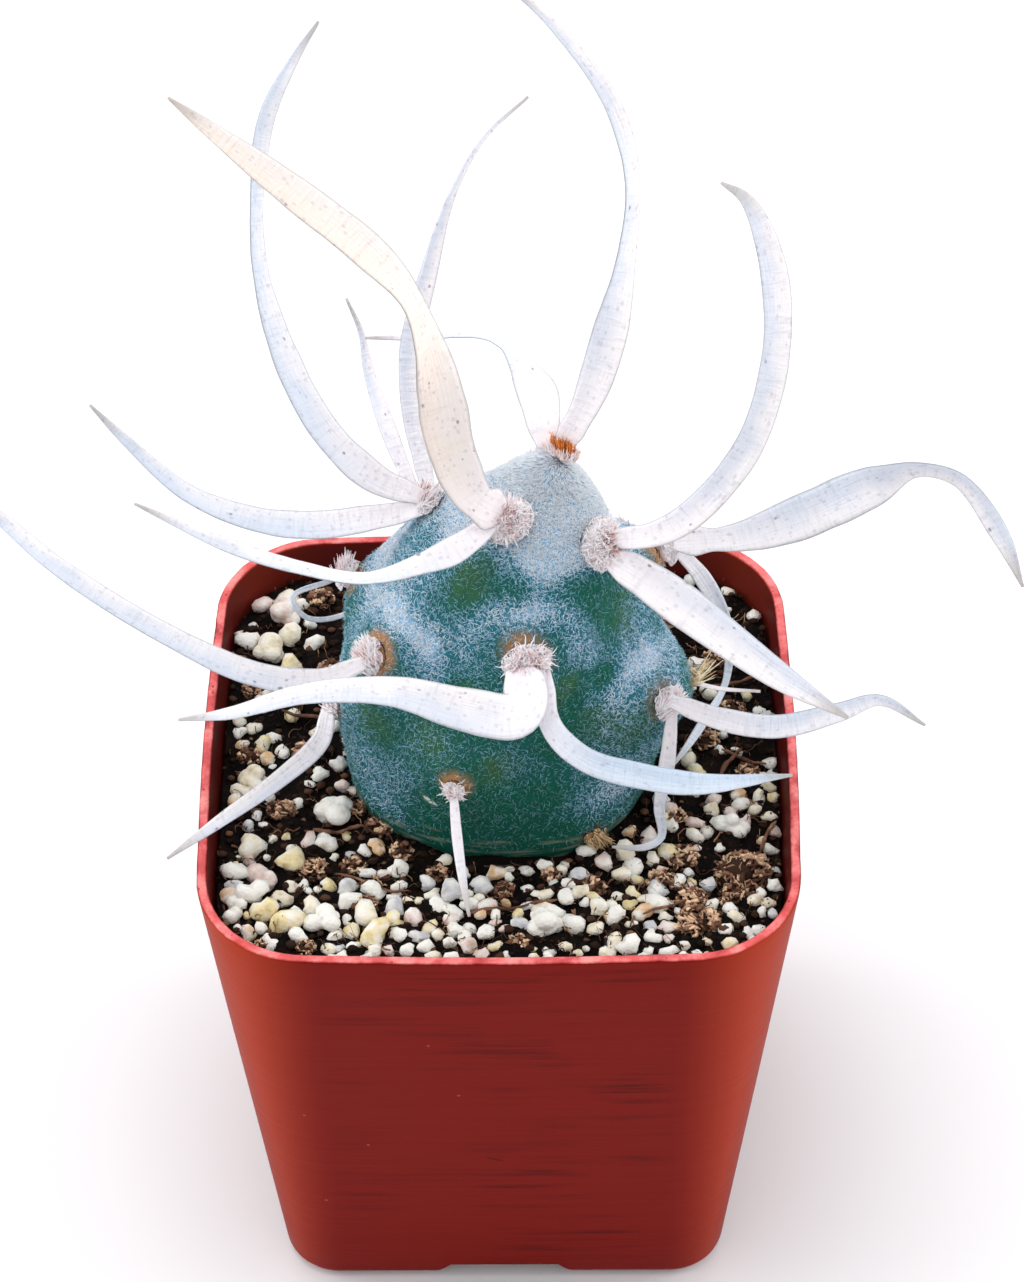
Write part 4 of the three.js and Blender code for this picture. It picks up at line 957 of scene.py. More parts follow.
def stem_surface(directions, grow=0.0):
    """Points of the stem's skin in unit directions from its centre, moved outwards by grow."""
    level = np.hypot(directions[..., 0], directions[..., 1])
    above = directions[..., 2] > 0
    power = np.where(above, STEM_TOP_ROUNDNESS, STEM_FOOT_ROUNDNESS)
    height = np.where(above, STEM_UP, STEM_DOWN)
    reach = ((level / STEM_RADIUS) ** power + (np.abs(directions[..., 2]) / height) ** power) ** (-1 / power)
    ridge = np.zeros(reach.shape)
    for direction, swell, spread in swellings():
        angle = np.arccos(np.clip(directions @ direction, -1, 1))
        reach = reach + swell * np.exp(-(angle / spread) ** 2)
        if swell > 0:
            ridge = ridge + np.exp(-(angle / (1.25 * spread)) ** 2)
    reach = reach - STEM_HOLLOW * np.maximum(0, 1 - ridge) * smoothstep(directions[..., 2], -0.5, -0.1)
    points = STEM_CENTRE + directions * (reach + grow)[..., None]
    lean = (np.maximum(points[..., 2] - STEM_CENTRE[2], 0) / STEM_UP) ** STEM_LEAN_POWER
    return points + lean[..., None] * STEM_LEAN


def areole_place(name):
    """An areole's place on the stem, and the directions across, upwards and outwards there."""
    step = 0.02
    turn, lift = (math.radians(angle) for angle in AREOLES[name][:2])
    lift = min(lift, TURN / 4 - 2 * step)
    point = stem_surface(directions_of(turn, lift))
    across = unit(stem_surface(directions_of(turn + step / math.cos(lift), lift)) - point)
    upwards = unit(stem_surface(directions_of(turn, lift + step)) - point)
    return point, across, upwards, unit(np.cross(across, upwards))


def areole_edge(name, turns):
    """Points on the skin along the cushion's edge, at angles from across towards upwards."""
    step = 0.02
    half_across, half_up = AREOLES[name][4][:2]
    turn, lift = (math.radians(angle) for angle in AREOLES[name][:2])
    here = stem_surface(directions_of(turn, lift))
    wide = np.linalg.norm(stem_surface(directions_of(turn + step, lift)) - here) / step
    tall = np.linalg.norm(stem_surface(directions_of(turn, lift + step)) - here) / step
    edge = directions_of(turn + half_across / wide * np.cos(turns), lift + half_up / tall * np.sin(turns))
    return stem_surface(edge, 0.04)


def nearness(directions, rows):
    """How near directions are to rows of azimuth, elevation and spread: 1 there, and 0 far away."""
    total = np.zeros(directions.shape[:-1])
    for azimuth, elevation, spread in rows:
        middle = directions_of(math.radians(azimuth), math.radians(elevation))
        total += np.exp(-(np.arccos(np.clip(directions @ middle, -1, 1)) / spread) ** 2)
    return np.clip(total, 0, 1)


def stem_mesh_parts():
    """Rings of directions over the whole stem, and its points with fine unevenness."""
    elevations = np.linspace(-TURN / 4, TURN / 4, STEM_UPWARDS + 1)[1:-1]
    azimuths = np.arange(STEM_AROUND) / STEM_AROUND * TURN
    directions = directions_of(azimuths[None, :], elevations[:, None])
    points = stem_surface(directions)
    flat = points.reshape(-1, 3)
    uneven = 0.16 * noise_at(flat, 5, 1) + 0.05 * noise_at(flat, 1.3, 2)
    return directions, points + directions * uneven.reshape(directions.shape[:-1])[..., None]


class CACTUS_OT_stem(bpy.types.Operator):
    """Builds the leaning stem with its swellings, and the short hairs that felt it"""

    bl_idname = "cactus.stem"
    bl_label = "Stem"
    bl_options = {"REGISTER"}

    def execute(self, context):
        stem = context.scene.cactus_stem
        random = np.random.default_rng(HAIR_SEED)
        directions, rings = stem_mesh_parts()
        points, faces = loft(rings)
        rays = np.concatenate([directions.reshape(-1, 3), [[0, 0, -1], [0, 0, 1]]])
        height = np.clip((points[:, 2] - STEM_LOW) / STEM_TALL, 0, 1)
        ridge, halo = np.zeros(len(points)), np.zeros(len(points))
        for name, row in AREOLES.items():
            point, across, upwards, _ = areole_place(name)
            away = points - point
            distance = np.linalg.norm(away, axis=1)
            # The felt is thickest along the top of each swelling, and thin beside the cushion. The arc's upper side
            # is painted lighter, partly as painted light from above
            over = away @ upwards / np.maximum(distance, 0.5)
            oval = distance - 0.35 * np.abs(away @ across)
            arc = np.exp(-((oval - RIDGE_RADIUS) / RIDGE_WIDTH) ** 2)
            ridge = np.maximum(ridge, arc * (0.5 + 0.5 * over))
            reach = np.hypot(away @ across, away @ upwards - 0.4) - (row[4][0] + row[4][1]) / 2
            near = smoothstep(distance, 7, 5)
            halo = np.maximum(halo, smoothstep(reach, 1.7, -0.5) * near * HALOS.get(name, HALO_USUAL))
        cloud = noise_at(points, 6, 3, 3)
        patch = nearness(rays, GREEN_PATCHES)
        foot = smoothstep(points[:, 2], 68, 60)
        # Paler with denser felt and partly painted light; darker in hollows and low down, partly painted shade
        felt_and_shading = 0.25 * smoothstep(height, 0.05, 0.5) + 0.6 * smoothstep(height, 0.72, 0.98)
        felt_and_shading += 0.85 * ridge * (0.15 + 0.85 * height) + 0.45 * nearness(rays, BRIGHT_PATCHES)
        felt_and_shading += 0.5 * nearness(rays, LOW_PATCHES) + 0.13 * cloud - 0.5 * nearness(rays, HOLLOWS)
        felt_and_shading = np.clip(felt_and_shading * (1 - 0.6 * patch), 0, 1)
        fields = {"felt_and_shading": felt_and_shading, "patch": patch, "halo": halo, "foot": foot}
        add_piece("stem_body", (points, faces), skin_material(stem), "stem", ["stem"], fields)

        triangles = np.array([t for face in faces for t in
                              ([face] if len(face) == 3 else [face[:3], [face[0], face[2], face[3]]])])
        corners = points[triangles]
        normals = np.cross(corners[:, 1] - corners[:, 0], corners[:, 2] - corners[:, 0])
        density = 0.3 + 0.7 * felt_and_shading[triangles].mean(1) + 0.8 * smoothstep(height[triangles].mean(1), 0.78, 0.98)
        density *= 1 - 0.5 * foot[triangles].mean(1)
        density *= np.where(corners[:, :, 2].mean(1) > STEM_LOW, 1, 0)
        density *= 1 - 0.5 * halo[triangles].mean(1).clip(0, 1)
        chance = np.linalg.norm(normals, axis=1) * density
        crown = areole_place("crown")[0]
        material = strand_material("cactus_hair_felted", [
            (0, "2a6a54"), (0.25, "4f9088"), (0.5, "8cc2de"), (0.7, "cbe4fb"), (0.82, stem.hair_colour),
            (0.95, "e6c4a8")])
        # Two pieces, because one would be too heavy
        for name, half in (("stem_hair_front", points[:, 1] < 2), ("stem_hair_back", points[:, 1] >= 2)):
            share = chance * half[triangles].mean(1)
            chosen = random.choice(len(triangles), stem.hairs, p=share / share.sum())
            weight = random.dirichlet((1, 1, 1), stem.hairs)
            root = (corners[chosen] * weight[..., None]).sum(1)
            felted_and_shaded, haloed = ((field[triangles[chosen]] * weight).sum(1) for field in (felt_and_shading, halo))
            outward = unit(normals[chosen])
            away = root - crown
            near_crown = np.exp(-(np.linalg.norm(away, axis=1) / 5.5) ** 2)[:, None]
            lie = unit(random.normal(size=(stem.hairs, 3))) * (1 - 0.7 * near_crown) + unit(away) * near_crown * 1.6
            lie = unit(lie - outward * (lie * outward).sum(1, keepdims=True))
            way = unit(outward * random.uniform(0.25, 0.75, (stem.hairs, 1)) + lie)
            size = stem.hair_length / MM * random.uniform(0.6, 1.3, (stem.hairs, 1)) * (1 + 0.7 * near_crown)
            first = unit(np.cross(way, outward)) * stem.hair_width / MM / 2
            second = unit(np.cross(way, first)) * stem.hair_width / MM / 2
            sunk = root - outward * HAIR_SUNK
            hair = np.stack([sunk + first, sunk - 0.5 * first + 0.87 * second, sunk - 0.5 * first - 0.87 * second,
                             root + way * size], 1).reshape(-1, 3)
            start = np.arange(stem.hairs)[:, None] * 4
            hair_faces = np.concatenate([start + corner for corner in
                                         ([0, 2, 1], [0, 1, 3], [1, 2, 3], [2, 0, 3])]).tolist()
            # A hair's tone follows the felt and painted light and shade under it, and is paler near the crown, as
            # painted light
            tone = felted_and_shaded * 0.75 + random.uniform(-0.05, 0.45, stem.hairs) + 0.2 * near_crown[:, 0]
            tone = np.clip(tone, 0, 0.82)
            # Hairs beside an areole are reddish
            tone = np.where(haloed > random.uniform(0.4, 1, stem.hairs), 0.98, tone)
            shade = np.repeat(tone, 4)
            spread = np.stack([shade, np.tile([0.1, 0.3, 0.5, 0.9], stem.hairs)], 1)
            spread[:, 0] += np.tile([0, 0.004, -0.004, 0], stem.hairs)
            add_piece(name, (hair, hair_faces), material, "stem", [], {"shade": shade}, spread)
        return {"FINISHED"}


# Potting mix


def soil_height(x, y):
    """The level of the potting mix."""
    rise = smoothstep(-y, SOIL_RISE_START, SOIL_RISE_START + SOIL_RISE_LENGTH)
    wave = 0.35 * np.sin(0.55 * x + 1.3) * np.cos(0.5 * y) + 0.2 * np.sin(1.1 * x + 0.7 * y)
    return SOIL_LEVEL + SOIL_FRONT_RISE * rise + wave


def stem_profile(azimuths, levels=160):
    """The lower half of the stem's skin below each azimuth, from the bottom up: (azimuths, levels, 3)."""
    elevations = np.linspace(-TURN / 4 + 0.02, 0.05, levels)
    return stem_surface(directions_of(azimuths[:, None], elevations[None, :]), STEM_SEAT)


def soil_rings(pot):
    """Rings of the mix from its floor, up the walls, over the top and down the stem's seat."""
    inset, floor = pot.wall / MM + GAP, POT_FLOOR + GAP
    rings = [pot_ring(pot, floor, POT_FOOT_ROUND + inset), pot_ring(pot, floor + POT_FOOT_ROUND, inset)]
    rings += [pot_ring(pot, z, inset) for z in (20, 40, 55)]
    edge = pot_ring(pot, SOIL_LEVEL, inset + 0.1)
    azimuths = np.arctan2(edge[:, 1] - STEM_CENTRE[1], edge[:, 0] - STEM_CENTRE[0])
    profile = stem_profile(azimuths)
    level = np.full(len(edge), float(SOIL_LEVEL))
    for _ in range(3):
        index = np.abs(profile[:, :, 2] - level[:, None]).argmin(1)
        seat = profile[np.arange(len(edge)), index]
        level = soil_height(seat[:, 0], seat[:, 1])
    for along in np.linspace(0, 1, SOIL_RINGS) ** 1.15:
        ring = edge * (1 - along) + seat * along
        ring[:, 2] = soil_height(ring[:, 0], ring[:, 1])
        fade = min(1, along * 12) * min(1, (1 - along) * 12)
        ring[:, 2] += fade * (0.75 * noise_at(ring, 3.2, 5, 3) + 0.35 * noise_at(ring, 0.9, 6))
        rings.append(ring)
    rings[-1] = seat
    for share in np.linspace(1, 0, 14)[1:]:
        lower = (index * share).astype(int)
        rings.append(profile[np.arange(len(edge)), lower])
    return rings


def inner_wall(pot):
    """Points along the wall's inner face at the top of the mix, and the way inwards at each."""
    edge = pot_ring(pot, SOIL_LEVEL + 1, pot.wall / MM)
    sides = np.roll(edge, -1, 0)[:, :2] - edge[:, :2]
    return edge[:, :2], unit(np.stack([-sides[:, 1], sides[:, 0]], 1))


def clear_of_wall(places, reach, pot):
    """Places x, y moved inwards until each is this far inside the wall."""
    edge, inward = inner_wall(pot)
    for _ in range(3):
        depths = ((places[:, None] - edge) * inward).sum(2)
        nearest = depths.argmin(1)
        places = places + inward[nearest] * (reach - depths.min(1)).clip(0)[:, None]
    return places


def free_places(random, sizes, taken, pot, weight=lambda x, y: 1):
    """Random places on the mix for lumps of these sizes, clear of each other, the stem and the pot. Weight is the
    chance that a place is kept."""
    edge, inward = inner_wall(pot)
    places = []
    for size in sizes:
        for _ in range(PLACE_TRIES):
            x, y = random.uniform(-MIX_REACH, MIX_REACH, 2)
            if random.uniform() > weight(x, y):
                continue
            if (((x, y) - edge) * inward).sum(1).min() < size * 0.5:
                continue
            if math.hypot(x - STEM_CENTRE[0], y - STEM_CENTRE[1]) < STEM_FOOT_REACH + size * 0.45:
                continue
            if any(math.hypot(x - a, y - b) < (size + other) * 0.47 for a, b, other in taken):
                continue
            taken.append((x, y, size))
            places.append((x, y, size))
            break
    if not places:
        raise RuntimeError("There is no room on the mix")
    return places


def perlite_weight(x, y):
    """Perlite lies thick at the front and the right front, and thin elsewhere."""
    return 0.12 + 0.88 * float(smoothstep(-y, 11, 22)) + 0.3 * float(smoothstep(x - y, 22, 34))


class CACTUS_OT_mix(bpy.types.Operator):
    """Builds the potting mix: peat, perlite, husk nuggets, fibres and twigs"""

    bl_idname = "cactus.mix"
    bl_label = "Potting mix"
    bl_options = {"REGISTER"}

    def execute(self, context):
        pot, mix = context.scene.cactus_pot, context.scene.cactus_mix
        random = np.random.default_rng(MIX_SEED)
        body = cut(new_mesh("mix_body", *loft(soil_rings(pot))), cross(POT_FLOOR + GAP))
        sharpen(body, 70)
        add_piece("mix_body", body, mix_material(mix), "soil", ["soil"])
        self.add_perlite(random, pot, mix)
        self.add_husk(random, mix)
        self.add_loose(random, pot, mix)
        return {"FINISHED"}

    def add_perlite(self, random, pot, mix):
        material = perlite_material(mix)
        for name, (x, y, size, shade) in PERLITE.items():
            centre = [(x, y, soil_height(x, y) + size * 0.14)]
            points, faces, _ = lumps(random, centre, [size * 0.84], (1, 0.9, 0.8), 4, 7)
            points += unit(points - centre) * 0.09 * noise_at(points, 0.6)[:, None]
            fields = {"shade": np.full(len(points), shade)}
            add_piece(f"perlite_lump_{name}", (points, faces), material, "perlite", [f"perlite_{name}"], fields)
        rows = [(x, y, size, SHADES[tone]) for tone, grains in GRAINS.items() for x, y, size in grains]
        taken = [(x, y, size) for x, y, size, _ in rows]
        taken += [(x, y, size) for x, y, size, _ in PERLITE.values()] + list(BARK.values())
        taken += [(x, y, size * 0.8) for x, y, size in HUSKS]
        tones = list(SHADES.values())
        sizes = random.uniform(0.8, 1.7, mix.grains)
        for x, y, size in free_places(random, sizes, taken, pot, perlite_weight):
            rows.append((x, y, size, random.choice(tones, p=(0.4, 0.22, 0.12, 0.06, 0.1, 0.1))))
        rows = np.array(rows)
        rows[:, :2] = clear_of_wall(rows[:, :2], rows[:, 2] * 0.76 + 0.15, pot)
        sunk = random.uniform(0.02, 0.3, len(rows))
        centres = np.stack([rows[:, 0], rows[:, 1], soil_height(rows[:, 0], rows[:, 1]) + rows[:, 2] * sunk], 1)
        points, faces, each = lumps(random, centres, rows[:, 2] * 1.13, (1, 0.92, 0.85))
        shade = np.repeat(rows[:, 3], each)
        # The grains are laid out as they lie, seen from above
        spread = np.clip(points[:, :2] / 64 + 0.5, 0, 1)
        add_piece("perlite_grains", (points, faces), material, "perlite", [], {"shade": shade}, spread)

    def add_husk(self, random, mix):
        material = husk_material(mix)
        nuggets = [self.nugget(random, x, y, size) for x, y, size in HUSKS]
        for name, (x, y, size) in BARK.items():
            points, faces, shade = self.nugget(random, x, y, size * 0.97)
            add_piece(f"bark_nugget_{name}", (points, faces), material, "bark", [f"bark_{name}"],
                      *by_shade(points, shade))
        points, faces = joined([nugget[:2] for nugget in nuggets])
        shade = np.concatenate([nugget[2] for nugget in nuggets])
        add_piece("husk_nuggets", (points, faces), material, "bark", [], *by_shade(points, shade))

    def nugget(self, random, x, y, size):
        """A nugget of husk: a dark core wound round with curved fibres."""
        middle = np.array([x, y, soil_height(x, y) + size * 0.08])
        scale = np.array([size, size * 0.85, size * 0.55]) / 2
        core, core_faces, _ = lumps(random, [(0, 0, 0)], [1.5], (1, 1, 1))
        count = int(24 * size)
        stations = 5
        place = unit(random.normal(size=(count, 3)) * (1, 1, 0.8) + (0, 0, 0.5))
        heading = unit(np.cross(place, random.normal(size=(count, 3))))
        path = []
        for _ in range(stations):
            path.append(place * (0.8 + 0.34 * random.uniform(size=(count, 1))))
            heading = unit(heading + 0.6 * random.normal(size=(count, 3)))
            place = unit(place + heading * 0.2)
        paths = np.stack(path, 1) * scale + middle
        radii = np.array([0.6, 1, 1, 0.8, 0.3])[None] * random.gamma(5, 0.042, (count, 1)).clip(0.06, 0.36)
        threads, thread_faces = tubes(paths, radii)
        points, faces = joined([(core * scale + middle, core_faces), (threads, thread_faces)])
        tone = np.repeat(random.beta(1.7, 1.1, count), stations * 3)
        return points, faces, np.concatenate([np.full(len(core), 0.1), tone])

    def add_loose(self, random, pot, mix):
        sizes = random.uniform(0.4, 1.3, mix.crumbs) ** 1.3
        crumbs = np.array(free_places(random, sizes, [], pot))
        crumbs[:, :2] = clear_of_wall(crumbs[:, :2], crumbs[:, 2] * 0.6 + 0.2, pot)
        centres = np.stack([crumbs[:, 0], crumbs[:, 1], soil_height(crumbs[:, 0], crumbs[:, 1]) + 0.2], 1)
        centres[:, 2] += 0.5 * noise_at(centres, 3.2, 5, 3)
        points, faces, each = lumps(random, centres, crumbs[:, 2], (1, 0.8, 0.6), 1, 4)
        shade = np.repeat(random.beta(1.2, 3.2, len(crumbs)), each)
        crumb = husk_material(mix, "peat_crumbs", 0.14, "8a6748")
        add_piece("peat_crumbs", (points, faces), crumb, "soil", [], *by_shade(points, shade))

        fibre = husk_material(mix, "husk_fibres_loose", 0.3, "c9a278")
        starts = np.array(free_places(random, np.full(mix.fibres, 0.6), [], pot))
        count, stations = len(starts), 8
        heading = random.uniform(0, TURN, count)
        length = random.gamma(2.5, 0.9, count).clip(0.8, 8)
        x, y = starts[:, 0].copy(), starts[:, 1].copy()
        path = []
        for _ in range(stations):
            path.append(np.stack([x, y], 1))
            heading = heading + random.normal(0, 0.35, count)
            next_x, next_y = x + np.cos(heading) * length / stations, y + np.sin(heading) * length / stations
            across, deep = np.abs(next_x), np.abs(next_y)
            outside = (np.maximum(across, deep) > FIBRE_FAR) | (across + deep > FIBRE_CORNER)
            outside |= np.hypot(next_x - STEM_CENTRE[0], next_y - STEM_CENTRE[1]) < FIBRE_NEAR
            heading = np.where(outside, heading + 2.2, heading)
            x, y = np.where(outside, x, next_x), np.where(outside, y, next_y)
            x = x + random.normal(0, 0.02, count)
        flat = np.stack(path, 1)
        lift = 0.45 + 0.5 * random.uniform(size=(count, 1)) + 0.25 * random.normal(size=(count, stations))
        paths = np.concatenate([flat, (soil_height(flat[..., 0], flat[..., 1]) + lift)[..., None]], 2)
        radii = np.linspace(1, 0.5, stations)[None] * random.gamma(2, 0.03, (count, 1)).clip(0.03, 0.16)
        parts = [tubes(paths, radii)]
        shades = [np.repeat(random.beta(1.4, 1.9, count), stations * 3)]
        for x0, y0, x1, y1, thickness in TWIGS:
            share = np.linspace(0, 1, 24)
            line = np.stack([x0 + (x1 - x0) * share, y0 + (y1 - y0) * share, share * 0], 1)
            line[:, 0] += 0.35 * noise_at(line, 2.5, x0)
            line[:, 1] += 0.35 * noise_at(line, 2.5, y0)
            line[:, 2] = soil_height(line[:, 0], line[:, 1]) + 0.75 + thickness / 2
            taper = np.minimum(1, 0.4 + 6 * np.minimum(share, 1 - share))
            girth = thickness / 2 * (1 + 0.5 * noise_at(line, 0.7, y1)) * taper
            parts.append(tubes(line[None], girth[None], 7))
            shades.append(np.repeat(0.5 + 0.3 * noise_at(line, 1.2, y0), 7))
        points, faces = joined(parts)
        shade = np.concatenate(shades)
        add_piece("husk_fibres", (points, faces), fibre, "bark", [], *by_shade(points, shade))


# Areoles


# How wool of each kind grows: lift off the skin, spread sideways, combing, curl, shortest and longest strand in
# millimetres, how many strands beside a middling areole, and the share that lies matted over the cushion
WOOL_KINDS = {
    "crown": (2.2, 0.1, 0, 0.03, 1.4, 2.2, 2.6, 0),
    "curled": (0.45, 0.9, 0, 0.25, 0.9, 1.7, 3.4, 0.76),
    "combed": (0.25, 0.3, 1.1, 0.06, 1.1, 2, 2.8, 0.45),
    "bristled": (0.8, 0.6, 0.7, 0.03, 1.6, 4.6, 0.9, 0.6),
    "splayed": (0.6, 0.3, 1.2, 0.08, 1.5, 2.8, 1.6, 0.45),
    "dry": (0.3, 0.12, 1.1, 0.08, 1.6, 2.8, 1.3, 0.3),
}
# A few strands of each areole stand out of the mat
WHISKERS = 7
# The painted shadow line along each cushion's upper side
SHADOW_LINE_STATIONS = 28
SHADOW_LINE_THICKNESS = 0.22


def wool_strands(random, name, strands, thickness):
    """Paths, radii and shades of the strands of one areole."""
    point, across, upwards, outwards = areole_place(name)
    _, _, _, _, (half_across, half_up, height), kind, comb = AREOLES[name]
    lift, splay, combing, curl, shortest, longest, share, matting = WOOL_KINDS[kind]
    count = int(strands * share * half_across * half_up / 3.2) + 30
    stations = 7
    radius = np.sqrt(random.uniform(0, 1, count))
    angle = random.uniform(0, TURN, count)
    a, b = radius * np.cos(angle), radius * np.sin(angle)
    dome = np.sqrt(np.maximum(0, 1 - radius ** 2))
    rise = height * (0.15 + (0.3 if kind == "crown" else 0.8) * dome)
    combed = across * math.cos(math.radians(comb)) + upwards * math.sin(math.radians(comb))
    # Combed strands start on the near side of the cushion and lie over it
    place = (point + across * (a * half_across * 0.85)[:, None] + upwards * (b * half_up * 0.85)[:, None]
             + outwards * rise[:, None] - combed * 0.3 * half_across * min(combing, 1))
    heading = unit(outwards * lift + (across * a[:, None] + upwards * b[:, None]) * splay + combed * combing
                   + 0.2 * random.normal(size=(count, 3)))
    length = random.uniform(shortest, longest, count) * (0.6 + 0.4 * half_across / 2)
    length[:WHISKERS] *= 1.3
    if kind == "crown":
        # The young bristles stand up, and pale ones lean out round them
        ring = radius > 0.72
        length = np.where(ring, length * 0.7, length)
        lean = np.where(ring, 0.5, 0.12)[:, None]
        heading = unit(np.array([0, 0, 1]) + (across * a[:, None] + upwards * b[:, None]) * lean
                       + 0.08 * random.normal(size=(count, 3)))
    path = []
    for _ in range(stations):
        path.append(place)
        heading = unit(heading + curl * random.normal(size=(count, 3)))
        # Strands keep off the skin
        low = ((place - point) * outwards).sum(1, keepdims=True) < 0.25
        heading = np.where(low, unit(heading + outwards * 0.8), heading)
        place = place + heading * (length / (stations - 1))[:, None]
    # Matted strands follow the top of the cushion and turn back at its edge
    matted = (random.uniform(size=count) < matting)[:, None]
    matted[:WHISKERS] = False
    spot = np.stack([a, b], 1)
    way = math.radians(comb) + random.normal(size=count) * (0.5 if combing else TURN)
    layer = random.uniform(0, 0.35, count)
    lifted = random.uniform(-0.2, 0.7, count).clip(0)
    for station in range(stations):
        reach = np.hypot(spot[:, 0], spot[:, 1])
        level = np.stack([spot[:, 0] * half_across, spot[:, 1] * half_up, layer * 0], 1)
        clefts = 1 + 0.35 * noise_at(level, 0.9, len(name))
        rise = height * clefts * (0.1 + 0.75 * np.sqrt(np.maximum(0, 1 - reach ** 2))) + layer
        rise = rise + lifted * (station / (stations - 1)) ** 2
        lain = (point + across * spot[:, :1] * half_across + upwards * spot[:, 1:] * half_up
                + outwards * (rise + 0.05 * random.normal(size=count))[:, None])
        path[station] = np.where(matted, lain, path[station])
        way = way + 0.45 * random.normal(size=count)
        stride = np.stack([np.cos(way), np.sin(way)], 1) * (length / (stations - 1))[:, None]
        spot = spot + stride / (half_across, half_up)
        spot = spot / np.maximum(1, np.hypot(spot[:, 0], spot[:, 1]) / 1.12)[:, None]
    taper = np.array([1, 1, 0.95, 0.85, 0.7, 0.5, 0.2])
    radii = taper[None] * thickness / 2 * random.uniform(0.6, 1.3, (count, 1))
    radii[:WHISKERS] *= 0.6
    # The mat is whitest round its edge
    pale = np.clip(random.beta(2, 1.3, count) * (0.55 + 0.25 * radius) + 0.32 * radius ** 2, 0.07, 1)
    if kind == "crown":
        pale = np.where(ring, random.uniform(0.6, 1, count), random.uniform(0.05, 0.5, count))
    return np.stack(path, 1), radii, np.repeat(pale, stations * 3)


class CACTUS_OT_wool(bpy.types.Operator):
    """Builds the areoles: a woolly cushion with strands for each"""

    bl_idname = "cactus.wool"
    bl_label = "Areoles"
    bl_options = {"REGISTER"}

    def execute(self, context):
        wool = context.scene.cactus_wool
        random = np.random.default_rng(WOOL_SEED)
        pale, dark = wool.pale_colour, wool.dark_colour
        # The darkest stops colour the painted shadow line along each cushion
        materials = {
            "wool": strand_material("areole_wool", [
                (0, dark, 0.06), (0.08, dark, 0.45), (0.2, dark), (0.34, "ffe6ea"), (0.5, pale)], 0.85, 0.3, 0.7),
            "crown_wool": strand_material("areole_wool_young", [
                (0, wool.crown_colour, 0.6), (0.3, wool.crown_colour), (0.5, "f0a860"), (0.8, pale)]),
            "bristles": strand_material("areole_bristles", [
                (0, dark, 0.06), (0.2, "a5805c"), (0.4, "dcc090"), (0.75, "f8ecd0")]),
            "dry_wool": strand_material("areole_wool_dry", [
                (0, wool.dry_colour, 0.2), (0.4, wool.dry_colour), (0.8, "e8cda4")], 0.9),
        }
        slots = {"crown": "crown_wool", "dry": "dry_wool"}
        for name, (_, _, _, _, (half_across, half_up, height), kind, _) in AREOLES.items():
            slot = slots.get(kind, "wool")
            point, across, upwards, outwards = areole_place(name)
            low, girth, base = (0.25, 1.1, (0.7, 0.9)) if kind == "crown" else (0.6, 1.6, (0.24, 0.44))
            cushion, faces, _ = lumps(random, [(0, 0, 0)], [girth], (1, 1, 1), 3)
            cushion += 0.12 * noise_at(cushion, 0.25)[:, None]
            cushion = (point + across * cushion[:, :1] * half_across * 0.85
                       + upwards * cushion[:, 1:2] * half_up * 0.85
                       + outwards * (height * 0.1 + cushion[:, 2:] * height * low))
            paths, radii, shade = wool_strands(random, name, wool.strands, wool.thickness / MM)
            parts, shades = [(cushion, faces), tubes(paths, radii)], [random.uniform(*base, len(cushion)), shade]
            if name != "crown":
                # A thin dark line along the cushion's upper side is painted shadow, where the cushion meets the skin
                turns = np.linspace(-0.3, TURN / 2 + 0.3, SHADOW_LINE_STATIONS)
                girth = SHADOW_LINE_THICKNESS / 2 * np.sin(np.linspace(0.1, 3.04, SHADOW_LINE_STATIONS))
                parts.append(tubes(areole_edge(name, turns)[None], girth[None]))
                shades.append(np.zeros(SHADOW_LINE_STATIONS * 3))
            points, faces = joined(parts)
            shade = np.concatenate(shades)
            spread = np.stack([shade, (points[:, 0] * 0.7 + points[:, 2] * 0.3) % 1], 1)
            material = materials["bristles" if kind == "bristled" else slot]
            add_piece(f"wool_{name}", (points, faces), material, slot, [f"areole_{name}"], {"shade": shade}, spread)
        return {"FINISHED"}


# Spines


def curve_through(rows, per_part=24):
    """Rows of x, y, z, width and turn along a smooth curve at even steps, and how far along it each lies."""
    rows = np.array(rows, float)
    rows = np.concatenate([[2 * rows[0] - rows[1]], rows, [2 * rows[-1] - rows[-2]]])
    samples = []
    for i in range(1, len(rows) - 2):
        before, start, end, after = rows[i - 1:i + 3]
        first, second, third = (
            np.linalg.norm(q[:3] - p[:3]) ** 0.5 for p, q in ((before, start), (start, end), (end, after)))
        middle = (end - start) / second
        leave = ((start - before) / first - (end - before) / (first + second) + middle) * second
        arrive = (middle - (after - start) / (second + third) + (after - end) / third) * second
        for t in np.arange(per_part) / per_part:
            samples.append((2 * t ** 3 - 3 * t ** 2 + 1) * start + (t ** 3 - 2 * t ** 2 + t) * leave
                           + (3 * t ** 2 - 2 * t ** 3) * end + (t ** 3 - t ** 2) * arrive)
    samples = np.array(samples + [rows[-2]])
    lengths = np.concatenate([[0], np.cumsum(np.linalg.norm(np.diff(samples[:, :3], axis=0), axis=1))])
    even = np.linspace(0, lengths[-1], max(12, int(lengths[-1] / BLADE_STEP)))
    return np.stack([np.interp(even, lengths, column) for column in samples.T], 1), even


